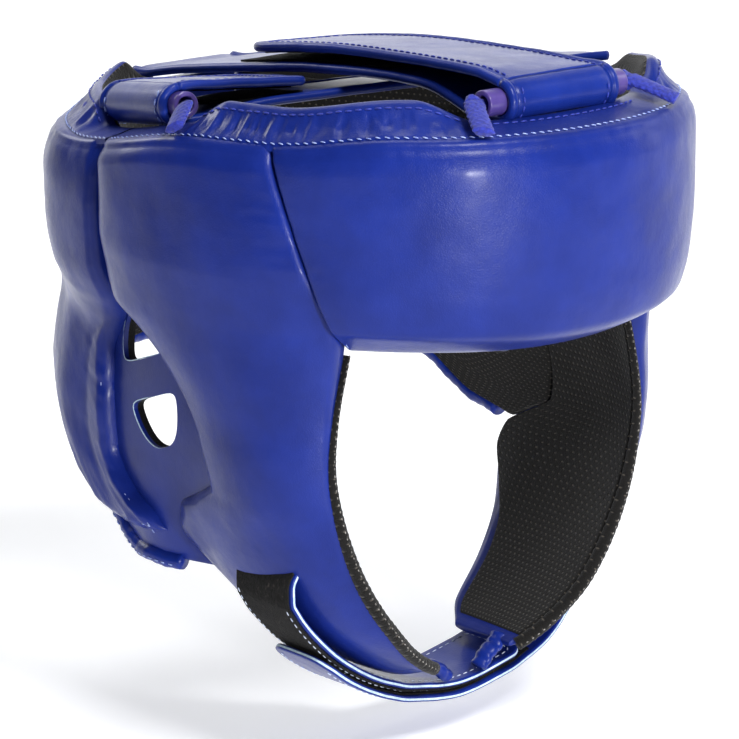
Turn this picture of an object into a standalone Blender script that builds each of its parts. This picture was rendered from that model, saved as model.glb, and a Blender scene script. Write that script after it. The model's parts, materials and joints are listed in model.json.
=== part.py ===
"""Open-face boxing headgear: padded forehead, cheeks and rear, strapped over the crown and under the chin.

The wearer faces -Y, with the right ear at -X and +Z up. The origin is the middle of the head cavity at
brow height. Lengths below are millimetres and angles degrees; meshes are written in metres.

The pads follow one head surface. A point on it is given by its drop, which is the height down to the jaw
line and the length along the curving jaw below it, and by a depth outwards from the head.
"""
from math import asin, atan2, cos, degrees, pi, radians, sin

import bmesh
import bpy
from mathutils import Vector

MM = 0.001

# Head cavity
HALF_WIDTH = 80.0
HALF_LENGTH = 96.0
ROUNDNESS = 2.2
JAW_ROUNDNESS = 3.2
JAW_LINE = -45.0
JAW_DROP = 94.0
JAW_NARROWING = 1.25
NAPE_FULLNESS = 0.45
NAPE_TUCK = 1.3
JAW_SWEEP = 1.26
TIP_DROP = JAW_LINE - JAW_SWEEP * JAW_DROP
BROW_TOP = 65.5
REAR_FALL = 12.0
SIDE_FALL = 4.5

# Layers, as depths from the head outwards
LINING = (0.0, 1.8)
FOAM_FROM = 2.5
COVER_THICKNESS = 1.3
FOAM_GAP = 0.8
WING_LINING = (0.0, 1.2)
WING_PANEL = (1.8, 4.6)
REAR_PAD_FROM = 7.4

# Straps
CROWN_WIDTH = 46.0
CROSS_WIDTH = 52.0
CHIN_WIDTH = 30.0
CHIN_MIDDLE_Y = -37.0
STRAP = 2.6
TAIL = 3.6
TAPE = 0.8
GAP = 0.35
TUBE_RADIUS = 4.6
TUBE_BORE = 2.8
TUBE_LENGTH = 64.0
CORD_RADIUS = 1.5
FRONT_TUBE = (-95.0, 73.6)
SIDE_TUBE = Vector((-77.0, 27.0, 62.2))
CROSS_ANGLE = 14.0
CROSS_TILT = 8.5
REAR_STRAP = (-34.0, 18.0)

# Ear holes: one slanted oval split by a bar
EAR_CENTRES = {-1.0: (20.0, -34.0), 1.0: (20.0, -30.0)}
EAR_HALVES = {-1.0: (14.5, 25.5), 1.0: (14.5, 22.5)}
EAR_TILT = 20.0
EAR_BAR = 12.0

BLUE = (0.018, 0.030, 0.26)
DARK_BLUE = (0.012, 0.020, 0.18)
BLACK = (0.012, 0.012, 0.014)


def material(name, colour, roughness):
    made = bpy.data.materials.get(name)
    if made is None:
        made = bpy.data.materials.new(name)
        made.use_nodes = True
        shader = made.node_tree.nodes["Principled BSDF"]
        shader.inputs["Base Color"].default_value = (*colour, 1.0)
        shader.inputs["Roughness"].default_value = roughness
        shader.inputs["Metallic"].default_value = 0.0
    return made


def cover_leather():
    return material("cover_leather", BLUE, 0.38)


def strap_leather():
    return material("strap_leather", BLUE, 0.42)


def binding_leather():
    return material("binding_leather", DARK_BLUE, 0.45)


def mesh_lining():
    return material("mesh_lining", BLACK, 0.85)


def foam_core():
    return material("foam_core", (0.05, 0.05, 0.055), 0.95)


def hook_and_loop():
    return material("hook_and_loop", (0.008, 0.008, 0.009), 0.95)


def tube_plastic():
    return material("tube_plastic", (0.10, 0.06, 0.22), 0.35)


def cord_braid():
    return material("cord_braid", (0.02, 0.03, 0.22), 0.8)


def smooth_step(value):
    clamped = min(max(value, 0.0), 1.0)
    return clamped * clamped * (3.0 - 2.0 * clamped)


def along(knots, value):
    """Value of a smooth line through (position, value) knots, which never overshoots them."""
    if value <= knots[0][0]:
        return knots[0][1]
    if value >= knots[-1][0]:
        return knots[-1][1]
    slopes = [(high - low) / (end - start) for (start, low), (end, high) in zip(knots, knots[1:])]

    def tangent(k):
        if k == 0:
            return slopes[0]
        if k == len(knots) - 1:
            return slopes[-1]
        before, after = slopes[k - 1], slopes[k]
        return 2.0 * before * after / (before + after) if before * after > 0.0 else 0.0

    k = max(index for index, (position, _) in enumerate(knots[:-1]) if position <= value)
    (start, low), (end, high) = knots[k], knots[k + 1]
    width = end - start
    t = (value - start) / width
    return (low * (2 * t ** 3 - 3 * t ** 2 + 1) + high * (3 * t ** 2 - 2 * t ** 3)
            + width * (tangent(k) * (t ** 3 - 2 * t ** 2 + t) + tangent(k + 1) * (t ** 3 - t ** 2)))


def drop_to_height(drop):
    if drop >= JAW_LINE:
        return drop
    return JAW_LINE - JAW_DROP * sin((JAW_LINE - drop) / JAW_DROP)


def plan_section(y, drop):
    """Half width, half length and roundness of the head at this drop, near this y."""
    bend = max(0.0, (JAW_LINE - drop) / JAW_DROP)
    backward = smooth_step((y + 10.0) / 40.0)
    half_width = HALF_WIDTH * cos(bend * (1.0 - NAPE_FULLNESS * backward)) ** JAW_NARROWING
    tuck = smooth_step((y + 10.0) / 60.0) * (1.0 - cos(NAPE_TUCK * bend))
    half_length = HALF_LENGTH * (1.0 - tuck)
    roundness = ROUNDNESS + (JAW_ROUNDNESS - ROUNDNESS) * smooth_step(-drop / 60.0)
    return half_width, half_length, roundness


def head_by_y(y, drop):
    half_width, half_length, roundness = plan_section(y, drop)
    x = half_width * (1.0 - min(abs(y) / half_length, 0.999) ** roundness) ** (1.0 / roundness)
    return Vector((x, y, drop_to_height(drop)))


def head_by_angle(angle, drop):
    """Point of the left half at an angle in degrees from the front."""
    across, ahead = sin(radians(angle)), cos(radians(angle))
    y = -HALF_LENGTH * ahead
    for _ in range(4):
        half_width, half_length, roundness = plan_section(y, drop)
        reach = ((abs(across) / half_width) ** roundness + (abs(ahead) / half_length) ** roundness)
        radius = reach ** (-1.0 / roundness)
        y = -radius * ahead
    return Vector((radius * across, y, drop_to_height(drop)))


def angle_of_y(y, drop):
    point = head_by_y(y, drop)
    return degrees(atan2(point.x, -y))


def lifted(surface, place, drop, depth, place_step):
    """A surface point moved outwards along the surface normal."""
    point = surface(place, drop)
    sideways = surface(place + place_step, drop) - surface(place - place_step, drop)
    upward = surface(place, drop + 0.5) - surface(place, drop - 0.5)
    normal = sideways.cross(upward).normalized()
    if normal.dot(point - Vector((0.0, 0.0, -20.0))) < 0.0:
        normal.negate()
    return point + depth * normal


def point_by_y(y, drop, depth, side):
    point = lifted(head_by_y, y, drop, depth, 0.5)
    return Vector((side * point.x, point.y, point.z))


def point_by_angle(angle, drop, depth, side):
    point = lifted(head_by_angle, angle, drop, depth, 0.4)
    return Vector((side * point.x, point.y, point.z))


def add_object(name, mesh_source, finish, origin=Vector((0.0, 0.0, 0.0))):
    """Turn a bmesh in millimetres into an object whose origin is where its joint needs it."""
    bmesh.ops.recalc_face_normals(mesh_source, faces=mesh_source.faces)
    for vertex in mesh_source.verts:
        vertex.co = (vertex.co - origin) * MM
    mesh = bpy.data.meshes.new(name)
    mesh_source.to_mesh(mesh)
    mesh_source.free()
    made = bpy.data.objects.new(name, mesh)
    made.location = origin * MM
    bpy.context.scene.collection.objects.link(made)
    mesh.materials.append(finish)
    mesh.shade_smooth()
    mesh.set_sharp_from_angle(angle=radians(35.0))
    return made


def border_places(columns, rows):
    bottom = [(i, 0) for i in range(columns)]
    right = [(columns, j) for j in range(rows)]
    top = [(i, rows) for i in range(columns, 0, -1)]
    left = [(0, j) for j in range(rows, 0, -1)]
    return bottom + right + top + left


def grid_faces(source, point_at, columns, rows):
    grid = [[source.verts.new(point_at(i / columns, j / rows)) for i in range(columns + 1)]
            for j in range(rows + 1)]
    for j in range(rows):
        for i in range(columns):
            source.faces.new((grid[j][i], grid[j][i + 1], grid[j + 1][i + 1], grid[j + 1][i]))
    return [grid[j][i] for i, j in border_places(columns, rows)]


def join_rings(source, first, second):
    count = len(first)
    for k in range(count):
        after = (k + 1) % count
        source.faces.new((first[k], first[after], second[after], second[k]))


def slab(name, outer_at, inner_at, columns, rows, finish):
    """Closed solid between two surfaces with one border."""
    source = bmesh.new()
    outer = grid_faces(source, outer_at, columns, rows)
    inner = grid_faces(source, inner_at, columns, rows)
    join_rings(source, outer, inner)
    return add_object(name, source, finish)


def shell(name, outer_at, foot_at, columns, rows, wall, finish):
    """Cover that wraps a pad's face and its rim. wall(u, v) moves a border place inwards by the wall."""
    source = bmesh.new()
    outer = grid_faces(source, outer_at, columns, rows)
    inner = grid_faces(source, lambda u, v: foot_at(*wall(u, v), True), columns, rows)
    places = [(i / columns, j / rows) for i, j in border_places(columns, rows)]
    foot_outer = [source.verts.new(foot_at(u, v, False)) for u, v in places]
    foot_inner = [source.verts.new(foot_at(*wall(u, v), False)) for u, v in places]
    join_rings(source, outer, foot_outer)
    join_rings(source, foot_outer, foot_inner)
    join_rings(source, foot_inner, inner)
    return add_object(name, source, finish)


def shrink(width, height, margin):
    """Move places of a patch of this size inwards by a margin."""
    def moved(u, v):
        across, up = margin / width, margin / height
        return across + u * (1.0 - 2.0 * across), up + v * (1.0 - 2.0 * up)
    return moved


def padded_part(names, place, thickness, size, grid, pad_from):
    """Cover, foam and, where named, lining of one pad. place(u, v, depth) gives its points."""
    columns, rows = grid
    wall = shrink(*size, COVER_THICKNESS)
    core = shrink(*size, COVER_THICKNESS + FOAM_GAP)
    lining_rim = shrink(*size, 0.3)

    def outer_at(u, v):
        return place(u, v, thickness(u, v))

    def foot_at(u, v, under_face):
        return place(u, v, thickness(u, v) - COVER_THICKNESS if under_face else pad_from + GAP)

    def foam_outer(u, v):
        a, b = core(u, v)
        return place(a, b, thickness(a, b) - COVER_THICKNESS - FOAM_GAP)

    def foam_inner(u, v):
        return place(*core(u, v), pad_from)

    shell(names["cover"], outer_at, foot_at, columns, rows, wall, cover_leather())
    slab(names["foam"], foam_outer, foam_inner, columns, rows, foam_core())
    if "lining" in names:
        slab(names["lining"], lambda u, v: place(*lining_rim(u, v), LINING[1]),
             lambda u, v: place(*lining_rim(u, v), LINING[0]), columns, rows, mesh_lining())


SEAM_ANGLE = ((-12.0, 43.4), (25.0, 50.0), (BROW_TOP, 56.4))


def top_drop(angle):
    side_fall = SIDE_FALL * smooth_step((angle - 34.0) / 24.0) * smooth_step((168.0 - angle) / 24.0)
    return BROW_TOP - REAR_FALL * smooth_step((angle - 70.0) / 55.0) - side_fall


def make_forehead():
    def place(u, v, depth):
        drop_middle = -12.0 + (BROW_TOP + 12.0) * v
        limit = along(SEAM_ANGLE, drop_middle)
        angle = (2.0 * u - 1.0) * limit
        low = -12.0 + 1.0 * smooth_step(abs(angle) / 45.0)
        drop = low + (top_drop(abs(angle)) - low) * v
        side = -1.0 if angle < 0.0 else 1.0
        return point_by_angle(max(abs(angle), 0.02), drop, depth, side)

    def thickness(u, v):
        upright = along(((0.0, 14.0), (0.13, 23.0), (0.32, 26.0), (0.6, 26.6), (0.85, 25.6), (1.0, 21.0)), v)
        return upright * (1.0 - 0.18 * abs(2.0 * u - 1.0) ** 4)

    names = {"cover": "forehead_cover", "foam": "forehead_foam", "lining": "forehead_lining"}
    padded_part(names, place, thickness, (200.0, 78.0), (20, 7), FOAM_FROM)


FRONT_EDGE = ((TIP_DROP, -58.0), (-140.0, -63.0), (-118.0, -66.0), (-85.0, -65.6), (-45.0, -64.4),
              (-25.0, -64.0), (-12.0, -64.0), (25.0, -55.6), (BROW_TOP, -46.4))
REAR_EDGE = ((TIP_DROP, -28.0), (-150.0, -17.0), (-124.0, -9.0), (-110.0, -3.0), (-97.0, 6.0), (-86.0, 11.0),
             (-77.0, 8.0), (-70.0, -4.0), (-63.0, -15.0), (-50.0, -13.0), (-35.0, -6.0), (-20.0, 6.0),
             (-11.0, 17.0), (-3.0, 28.4), (BROW_TOP, 28.4))
WING_FRONT = ((-110.0, 3.0), (-96.0, 12.0), (-86.0, 15.0), (-77.0, 13.0), (-70.0, 3.0), (-63.0, -9.0),
              (-50.0, -9.0), (-35.0, -2.5), (-20.0, 9.0), (-11.0, 20.5), (-2.0, 30.0), (BROW_TOP, 30.0))
SIDE_MIDDLE = ((TIP_DROP, 8.5), (-136.0, 11.5), (-100.0, 13.5), (-70.0, 13.8), (-45.0, 15.5), (-20.0, 19.2),
               (16.0, 25.6))
SIDE_FRONT = ((TIP_DROP, 4.6), (-60.0, 4.2), (-40.0, 5.2), (-20.0, 9.5), (20.0, 22.0))
SIDE_REAR = ((TIP_DROP, 7.0), (-140.0, 9.5), (-110.0, 10.0), (-90.0, 8.6), (-70.0, 9.5), (-30.0, 12.5),
             (20.0, 22.0))
THINNEST_SIDE = 5.7


def side_place(side):
    def place(u, v, depth):
        drop = TIP_DROP + (BROW_TOP - TIP_DROP) * v
        front, rear = along(FRONT_EDGE, drop), along(REAR_EDGE, drop)
        y = front + (rear - front) * u
        fall = BROW_TOP - top_drop(angle_of_y(y, drop))
        drop -= fall * smooth_step((drop - 20.0) / (BROW_TOP - 20.0))
        return point_by_y(y, drop, depth, side)
    return place


def side_thickness(u, v):
    drop = TIP_DROP + (BROW_TOP - TIP_DROP) * v
    middle, front, rear = (along(knots, drop) for knots in (SIDE_MIDDLE, SIDE_FRONT, SIDE_REAR))
    crown = 1.0 - abs(2.0 * u - 1.0) ** 2.6
    full = (front + (rear - front) * u) * (1.0 - crown) + middle * crown
    top_rounding = 1.0 - 0.22 * smooth_step((drop - BROW_TOP + 14.0) / 14.0)
    tip_rounding = 1.0 - 0.3 * smooth_step((TIP_DROP + 10.0 - drop) / 10.0)
    return max(full * top_rounding * tip_rounding, THINNEST_SIDE)


def make_side_pad(word, side):
    names = {part: f"{word}_side_{part}" for part in ("cover", "foam", "lining")}
    padded_part(names, side_place(side), side_thickness, (44.0, 232.0), (6, 22), FOAM_FROM)


NAPE_RIGHT = ((95.0, -104.0), (115.0, -103.0), (122.0, -98.0), (129.0, -86.0), (140.0, -58.0), (150.0, -44.0),
              (168.0, -40.0))
NAPE_LEFT = ((95.0, -74.0), (110.0, -70.0), (127.0, -54.0), (145.0, -43.0), (168.0, -40.0))
PAD_EDGE_RISE = ((95.0, 13.0), (128.0, 9.0), (150.0, 3.0))
REAR_PAD_FRONT = ((-95.0, 17.0), (-87.0, 22.0), (-79.0, 31.0), (-63.0, 40.0), (-26.0, 42.0), (-8.0, 34.0),
                  (0.0, 30.0))
MEDIAL_ANGLE = 168.0
WING_ROWS = ((0.0, 0.0), (0.5, 0.3), (1.0, 1.0))


def wing_place(side, nape):
    def place(u, v, depth):
        row = along(WING_ROWS, v)
        low = along(nape, 95.0)
        guess = low + (BROW_TOP - low) * row
        start = angle_of_y(along(WING_FRONT, guess), guess)
        angle = start + (MEDIAL_ANGLE - start) * u
        low = along(nape, angle)
        drop = low + (top_drop(angle) - low) * row
        return point_by_angle(angle, drop, depth, side)
    return place


def ear_hole_outline(side, upper):
    """Corner-to-corner outline, in y and z, of the oval's part above or below the bar."""
    centre = EAR_CENTRES[side]
    half_across, half_up = EAR_HALVES[side]
    tilt = radians(EAR_TILT)
    sign = 1.0 if upper else -1.0
    start = asin(0.5 * EAR_BAR / half_up)
    steps = 12
    points = []
    for k in range(steps + 1):
        turn = start + (pi - 2.0 * start) * k / steps
        across = half_across * (1.0 if cos(turn) > 0 else -1.0) * abs(cos(turn)) ** 0.8
        up = sign * half_up * sin(turn) ** 0.9
        points.append((centre[0] + across * cos(tilt) + up * sin(tilt),
                       centre[1] - across * sin(tilt) + up * cos(tilt)))
    return points


def ear_cutter(side, upper):
    source = bmesh.new()
    near = [source.verts.new((side * 60.0, y, z)) for y, z in ear_hole_outline(side, upper)]
    far = [source.verts.new((side * 110.0, y, z)) for y, z in ear_hole_outline(side, upper)]
    source.faces.new(near)
    source.faces.new(far)
    join_rings(source, near, far)
    cutter = add_object("ear_cutter", source, mesh_lining())
    cutter.hide_render = True
    cutter.display_type = "WIRE"
    return cutter


def make_wing(word, side, nape):
    place = wing_place(side, nape)
    panel = slab(f"{word}_wing_panel", lambda u, v: place(u, v, WING_PANEL[1]),
                 lambda u, v: place(u, v, WING_PANEL[0]), 13, 14, cover_leather())
    lining = slab(f"{word}_wing_lining", lambda u, v: place(u, v, WING_LINING[1]),
                  lambda u, v: place(u, v, WING_LINING[0]), 13, 14, mesh_lining())
    for upper in (True, False):
        cutter = ear_cutter(side, upper)
        for piece in (panel, lining):
            cut = piece.modifiers.new("ear_hole", "BOOLEAN")
            cut.operation = "DIFFERENCE"
            cut.solver = "EXACT"
            cut.object = cutter


def tube_along(name, points, radius, finish, sides=2):
    curve = bpy.data.curves.new(name, "CURVE")
    curve.dimensions = "3D"
    curve.bevel_depth = radius * MM
    curve.bevel_resolution = sides
    curve.use_fill_caps = True
    line = curve.splines.new("POLY")
    line.points.add(len(points) - 1)
    for spot, point in zip(line.points, points):
        spot.co = (*(Vector(point) * MM), 1.0)
    made = bpy.data.objects.new(name, curve)
    curve.materials.append(finish)
    bpy.context.scene.collection.objects.link(made)
    return made


def smooth_path(corners, steps):
    """Catmull-Rom line through the corners."""
    corners = [Vector(corner) for corner in corners]
    padded = [2 * corners[0] - corners[1]] + corners + [2 * corners[-1] - corners[-2]]
    path = []
    for before, start, end, after in zip(padded, padded[1:], padded[2:], padded[3:]):
        for k in range(steps):
            t = k / steps
            path.append(0.5 * (2 * start + (end - before) * t
                               + (2 * before - 5 * start + 4 * end - after) * t ** 2
                               + (3 * start - before - 3 * end + after) * t ** 3))
    path.append(corners[-1])
    return path


def side_view(corners, steps):
    """Smooth line through corners drawn in a strap's side view."""
    return [(point.x, point.y) for point in smooth_path([(a, b, 0.0) for a, b in corners], steps)]


def make_binding(word, side, nape):
    def edge(angle):
        return point_by_angle(angle, along(nape, angle), 3.1, side)

    points = []
    for k in range(29):
        angle = 104.0 + (MEDIAL_ANGLE - 104.0) * k / 28
        run = (edge(angle + 0.5) - edge(angle - 0.5)).normalized()
        outwards = (point_by_angle(angle, along(nape, angle), 6.0, side) - edge(angle)).normalized()
        below = run.cross(outwards)
        if below.z > 0.0:
            below.negate()
        points.append(edge(angle) + 2.8 * below)
    tube_along(f"{word}_nape_binding", points, 1.9, binding_leather())


def make_rear_pad(word, side, nape):
    def place(u, v, depth):
        low_guess = along(nape, 106.0 + (MEDIAL_ANGLE - 106.0) * u) + 8.0
        guess = low_guess + (BROW_TOP - low_guess) * v
        start = angle_of_y(along(REAR_PAD_FRONT, guess), guess)
        angle = start + (MEDIAL_ANGLE - start) * u
        low = along(nape, angle) + along(PAD_EDGE_RISE, angle)
        drop = low + (top_drop(angle) - low) * v
        return point_by_angle(angle, drop, depth, side)

    def thickness(u, v):
        middle = 27.0 - 4.5 * smooth_step((u - 0.35) / 0.5)
        border = 0.36 + 0.42 * smooth_step((v - 0.45) / 0.25)
        swelling = ((0.0, border), (0.14, 0.55 * border + 0.45), (0.36, 1.0), (0.75, 1.0), (1.0, 0.68))
        upright = ((0.0, 0.58), (0.12, 0.72), (0.35, 0.80), (0.6, 0.95), (0.86, 1.0), (1.0, 0.76))
        return max(middle * along(swelling, u) * along(upright, v), REAR_PAD_FROM + 4.0)

    names = {"cover": f"{word}_rear_cover", "foam": f"{word}_rear_foam"}
    padded_part(names, place, thickness, (95.0, 130.0), (8, 9), REAR_PAD_FROM)
    if word == "right":
        make_rear_loop(place, thickness)


def make_rear_loop(place, thickness):
    """Loop patch that the rear strap closes on."""
    def patch(u, v, lift):
        a, b = 0.52 + 0.38 * u, 0.14 + 0.36 * v
        return place(a, b, thickness(a, b) + lift)

    slab("rear_loop_tape", lambda u, v: patch(u, v, GAP + TAPE), lambda u, v: patch(u, v, GAP + 0.1), 5, 5,
         hook_and_loop())


def make_yoke():
    def place(u, v, depth):
        angle = 180.0 - 10.6 + 21.2 * u
        side = 1.0 if angle < 180.0 else -1.0
        folded = min(angle, 360.0 - angle)
        return point_by_angle(min(folded, 179.98), 15.0 + 38.6 * v, depth, side)

    slab("rear_yoke", lambda u, v: place(u, v, 17.0 - 3.0 * abs(2 * v - 1) ** 4),
         lambda u, v: place(u, v, 1.0), 6, 5, cover_leather())


def make_collar(name, side, start, end, outline):
    """Raised lip on the rim. outline holds depths and heights above the rim."""
    steps = 14
    source = bmesh.new()
    rings = []
    for k in range(steps + 1):
        angle = start + (end - start) * k / steps
        taper = 0.45 + 0.55 * smooth_step(min(k, steps - k) / 2.5)
        rim = top_drop(angle)
        ring = []
        for depth, height in outline:
            foot = point_by_angle(angle, rim, depth, side)
            ring.append(source.verts.new(foot + Vector((0.0, 0.0, 0.7 + height * taper))))
        rings.append(ring)
    for first, second in zip(rings, rings[1:]):
        join_rings(source, first, second)
    source.faces.new(rings[0])
    source.faces.new(rings[-1])
    return add_object(name, source, cover_leather())


LOW_COLLAR = ((19.0, 0.0), (13.0, 4.5), (8.5, 7.6), (5.2, 7.6), (3.0, 5.0), (2.6, 0.0))
TALL_COLLAR = ((19.0, 0.0), (16.0, 7.0), (14.0, 12.4), (11.0, 13.0), (8.0, 10.5), (5.0, 0.0))


def band(name, path, low, high, half_width, place, finish, start=0.0, end=1.0, origin=None):
    """Strap along a path drawn in its own side view, between two offsets to the left of the path.

    place(run, rise, across) puts a point of the side view in space. start and end are fractions of the path.
    """
    source = bmesh.new()
    first = round(start * (len(path) - 1))
    last = round(end * (len(path) - 1))
    loops = []
    for k in range(first, last + 1):
        before, after = path[max(k - 1, 0)], path[min(k + 1, len(path) - 1)]
        heading = (Vector(after) - Vector(before)).normalized()
        left = Vector((-heading.y, heading.x))
        fraction = k / (len(path) - 1)
        low_here = low(fraction) if callable(low) else low
        high_here = high(fraction) if callable(high) else high
        lower = Vector(path[k]) + low_here * left
        upper = Vector(path[k]) + high_here * left
        loops.append([source.verts.new(place(spot.x, spot.y, across))
                      for spot, across in ((lower, -half_width), (upper, -half_width),
                                           (upper, half_width), (lower, half_width))])
    for one, two in zip(loops, loops[1:]):
        join_rings(source, one, two)
    source.faces.new(loops[0])
    source.faces.new(loops[-1])
    return add_object(name, source, finish, origin or Vector((0.0, 0.0, 0.0)))


def arc(centre, radius, start, end, steps):
    turns = [radians(start + (end - start) * k / steps) for k in range(steps + 1)]
    return [(centre[0] + radius * cos(turn), centre[1] + radius * sin(turn)) for turn in turns]


def hollow_tube(name, centre, direction):
    """Stiff sleeve that a strap folds round and a cord runs through."""
    sides = 16
    source = bmesh.new()
    turned = Vector((0.0, 0.0, 1.0)).rotation_difference(direction)
    rings = []
    for radius, height in ((TUBE_RADIUS, -1), (TUBE_RADIUS, 1), (TUBE_BORE, 1), (TUBE_BORE, -1)):
        ring = []
        for k in range(sides):
            turn = 2.0 * pi * k / sides
            spot = Vector((radius * cos(turn), radius * sin(turn), height * TUBE_LENGTH / 2))
            spot.rotate(turned)
            ring.append(source.verts.new(centre + spot))
        rings.append(ring)
    for k in range(4):
        join_rings(source, rings[k], rings[(k + 1) % 4])
    return add_object(name, source, tube_plastic())


WRAP = TUBE_RADIUS + GAP + STRAP / 2
TAIL_LIFT = WRAP + 0.5


def crown_place(run, rise, across):
    return Vector((across, run, rise))


CROWN_HINGE = Vector((0.0, FRONT_TUBE[0] + GAP, FRONT_TUBE[1] + TAIL_LIFT + TAIL / 2))


def make_crown_strap():
    back = side_view([(104.0, 57.2), (96.0, 57.6), (78.0, 61.0), (51.0, 65.2), (29.0, 68.4), (9.0, 71.0),
                      (-18.0, 73.4), (-45.0, 74.6), (-62.0, 73.8), (-76.0, 69.6), (-86.0, 65.8)], 3)
    loop = arc(FRONT_TUBE, WRAP, 270.0, 90.0, 10)
    path = back + loop
    half = CROWN_WIDTH / 2
    band("crown_strap", path, -STRAP / 2, STRAP / 2, half, crown_place, strap_leather())
    loop_low, loop_high = -STRAP / 2 - GAP - TAPE, -STRAP / 2 - GAP
    band("crown_loop_tape", back, loop_low, loop_high, half - 7.0, crown_place, hook_and_loop(), 0.32, 0.66)
    tail = side_view([(CROWN_HINGE.y, FRONT_TUBE[1] + TAIL_LIFT), (-78.0, 79.6), (-60.0, 80.7), (-18.0, 79.6),
                      (9.0, 77.2), (27.0, 74.9), (39.0, 73.0)], 3)
    band("crown_tail", tail, -TAIL / 2, TAIL / 2, half, crown_place, strap_leather(), origin=CROWN_HINGE)
    hook_low, hook_high = -TAIL / 2 - GAP - TAPE, -TAIL / 2 - GAP
    band("crown_hook_tape", tail, hook_low, hook_high, half - 7.0, crown_place, hook_and_loop(), 0.5, 0.94,
         CROWN_HINGE)
    piping("crown_tail_piping", tail[1:], half + 1.9, 3.0, crown_place)


def piping(name, path, half_width, end_run, place):
    """Bead round the two long edges and the free end of a strap tail."""
    end, before = Vector(path[-1]), Vector(path[-2])
    beyond = end + (end - before).normalized() * end_run
    near = [place(spot[0], spot[1], -half_width) for spot in path]
    far = [place(spot[0], spot[1], half_width) for spot in reversed(path)]
    corner = half_width * 0.86
    cap = [place(beyond.x, beyond.y, across) for across in (-corner, 0.0, corner)]
    tube_along(name, near + cap + far, 1.4, binding_leather())


CROSS_RUN = Vector((cos(radians(CROSS_ANGLE)), -sin(radians(CROSS_ANGLE)), 0.0))
CROSS_ACROSS = Vector((sin(radians(CROSS_ANGLE)) * cos(radians(CROSS_TILT)),
                       cos(radians(CROSS_ANGLE)) * cos(radians(CROSS_TILT)), -sin(radians(CROSS_TILT))))


def cross_place(run, rise, across):
    start = Vector((SIDE_TUBE.x, SIDE_TUBE.y, rise))
    return start + run * CROSS_RUN + across * CROSS_ACROSS


CROSS_HINGE = cross_place(GAP, SIDE_TUBE.z + TAIL_LIFT + TAIL / 2, 0.0)


def make_cross_strap():
    back = side_view([(170.0, 65.6), (152.0, 65.4), (128.0, 64.0), (104.0, 62.6), (77.0, 61.8), (52.0, 61.0),
                      (34.0, 60.2), (20.0, 58.4), (9.0, 56.0)], 3)
    loop = arc((0.0, SIDE_TUBE.z), WRAP, 270.0, 90.0, 10)
    half = CROSS_WIDTH / 2
    band("cross_strap", back + loop, -STRAP / 2, STRAP / 2, half, cross_place, strap_leather())
    loop_low, loop_high = -STRAP / 2 - GAP - TAPE, -STRAP / 2 - GAP
    band("cross_loop_tape", back, loop_low, loop_high, half - 6.0, cross_place, hook_and_loop(), 0.64, 0.86)
    tail = side_view([(GAP, SIDE_TUBE.z + TAIL_LIFT), (12.0, 68.6), (26.0, 67.9), (38.0, 67.1), (46.5, 66.7)],
                     4)
    band("cross_tail", tail, -TAIL / 2, TAIL / 2, half, cross_place, strap_leather(), origin=CROSS_HINGE)
    hook_low, hook_high = -TAIL / 2 - GAP - TAPE, -TAIL / 2 - GAP
    band("cross_hook_tape", tail, hook_low, hook_high, half - 6.0, cross_place, hook_and_loop(), 0.4, 0.95,
         CROSS_HINGE)


def make_tubes_and_cords():
    front = Vector((0.0, *FRONT_TUBE))
    hollow_tube("front_tube", front, Vector((1.0, 0.0, 0.0)))
    half = TUBE_LENGTH / 2
    anchor = Vector((45.0, -110.0, BROW_TOP + 2.6))
    bend = front + Vector((half + 5.0, -2.0, 0.0))
    right = [(-x, y, z) for x, y, z in (anchor, bend)]
    reach = Vector((half, 0.0, 0.0))
    route = smooth_path([right[0], right[1], front - reach, front, front + reach, bend, anchor], 5)
    tube_along("front_cord", route, CORD_RADIUS, cord_braid())

    hollow_tube("side_tube", SIDE_TUBE, CROSS_ACROSS)
    ahead, behind = SIDE_TUBE - half * CROSS_ACROSS, SIDE_TUBE + half * CROSS_ACROSS
    front_anchor = Vector((-101.0, -18.0, BROW_TOP - SIDE_FALL + 2.4))
    rear_anchor = Vector((-74.0, 68.0, BROW_TOP - REAR_FALL + 1.0))
    route = smooth_path([front_anchor, ahead + Vector((-5.0, -5.0, 0.6)), ahead, SIDE_TUBE, behind,
                         behind + Vector((-0.5, 5.0, -0.8)), rear_anchor], 5)
    tube_along("side_cord", route, CORD_RADIUS, cord_braid())


def chin_place(run, rise, across):
    return Vector((run, CHIN_MIDDLE_Y + across, rise))


def jaw_outline():
    """Side view, in x and z, of the line that the chin strap's inner face follows, right jaw to left jaw."""
    clearance = 1.2
    right = []
    for k in range(8):
        drop = -95.0 - 9.7 * k
        point = point_by_y(-31.0, drop, along(SIDE_MIDDLE, drop) + clearance, -1.0)
        right.append((point.x, point.z))
    left = [(-x, z) for x, z in reversed(right)]
    return side_view(right + [(0.0, right[-1][1] - 3.4)] + left, 3)


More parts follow.
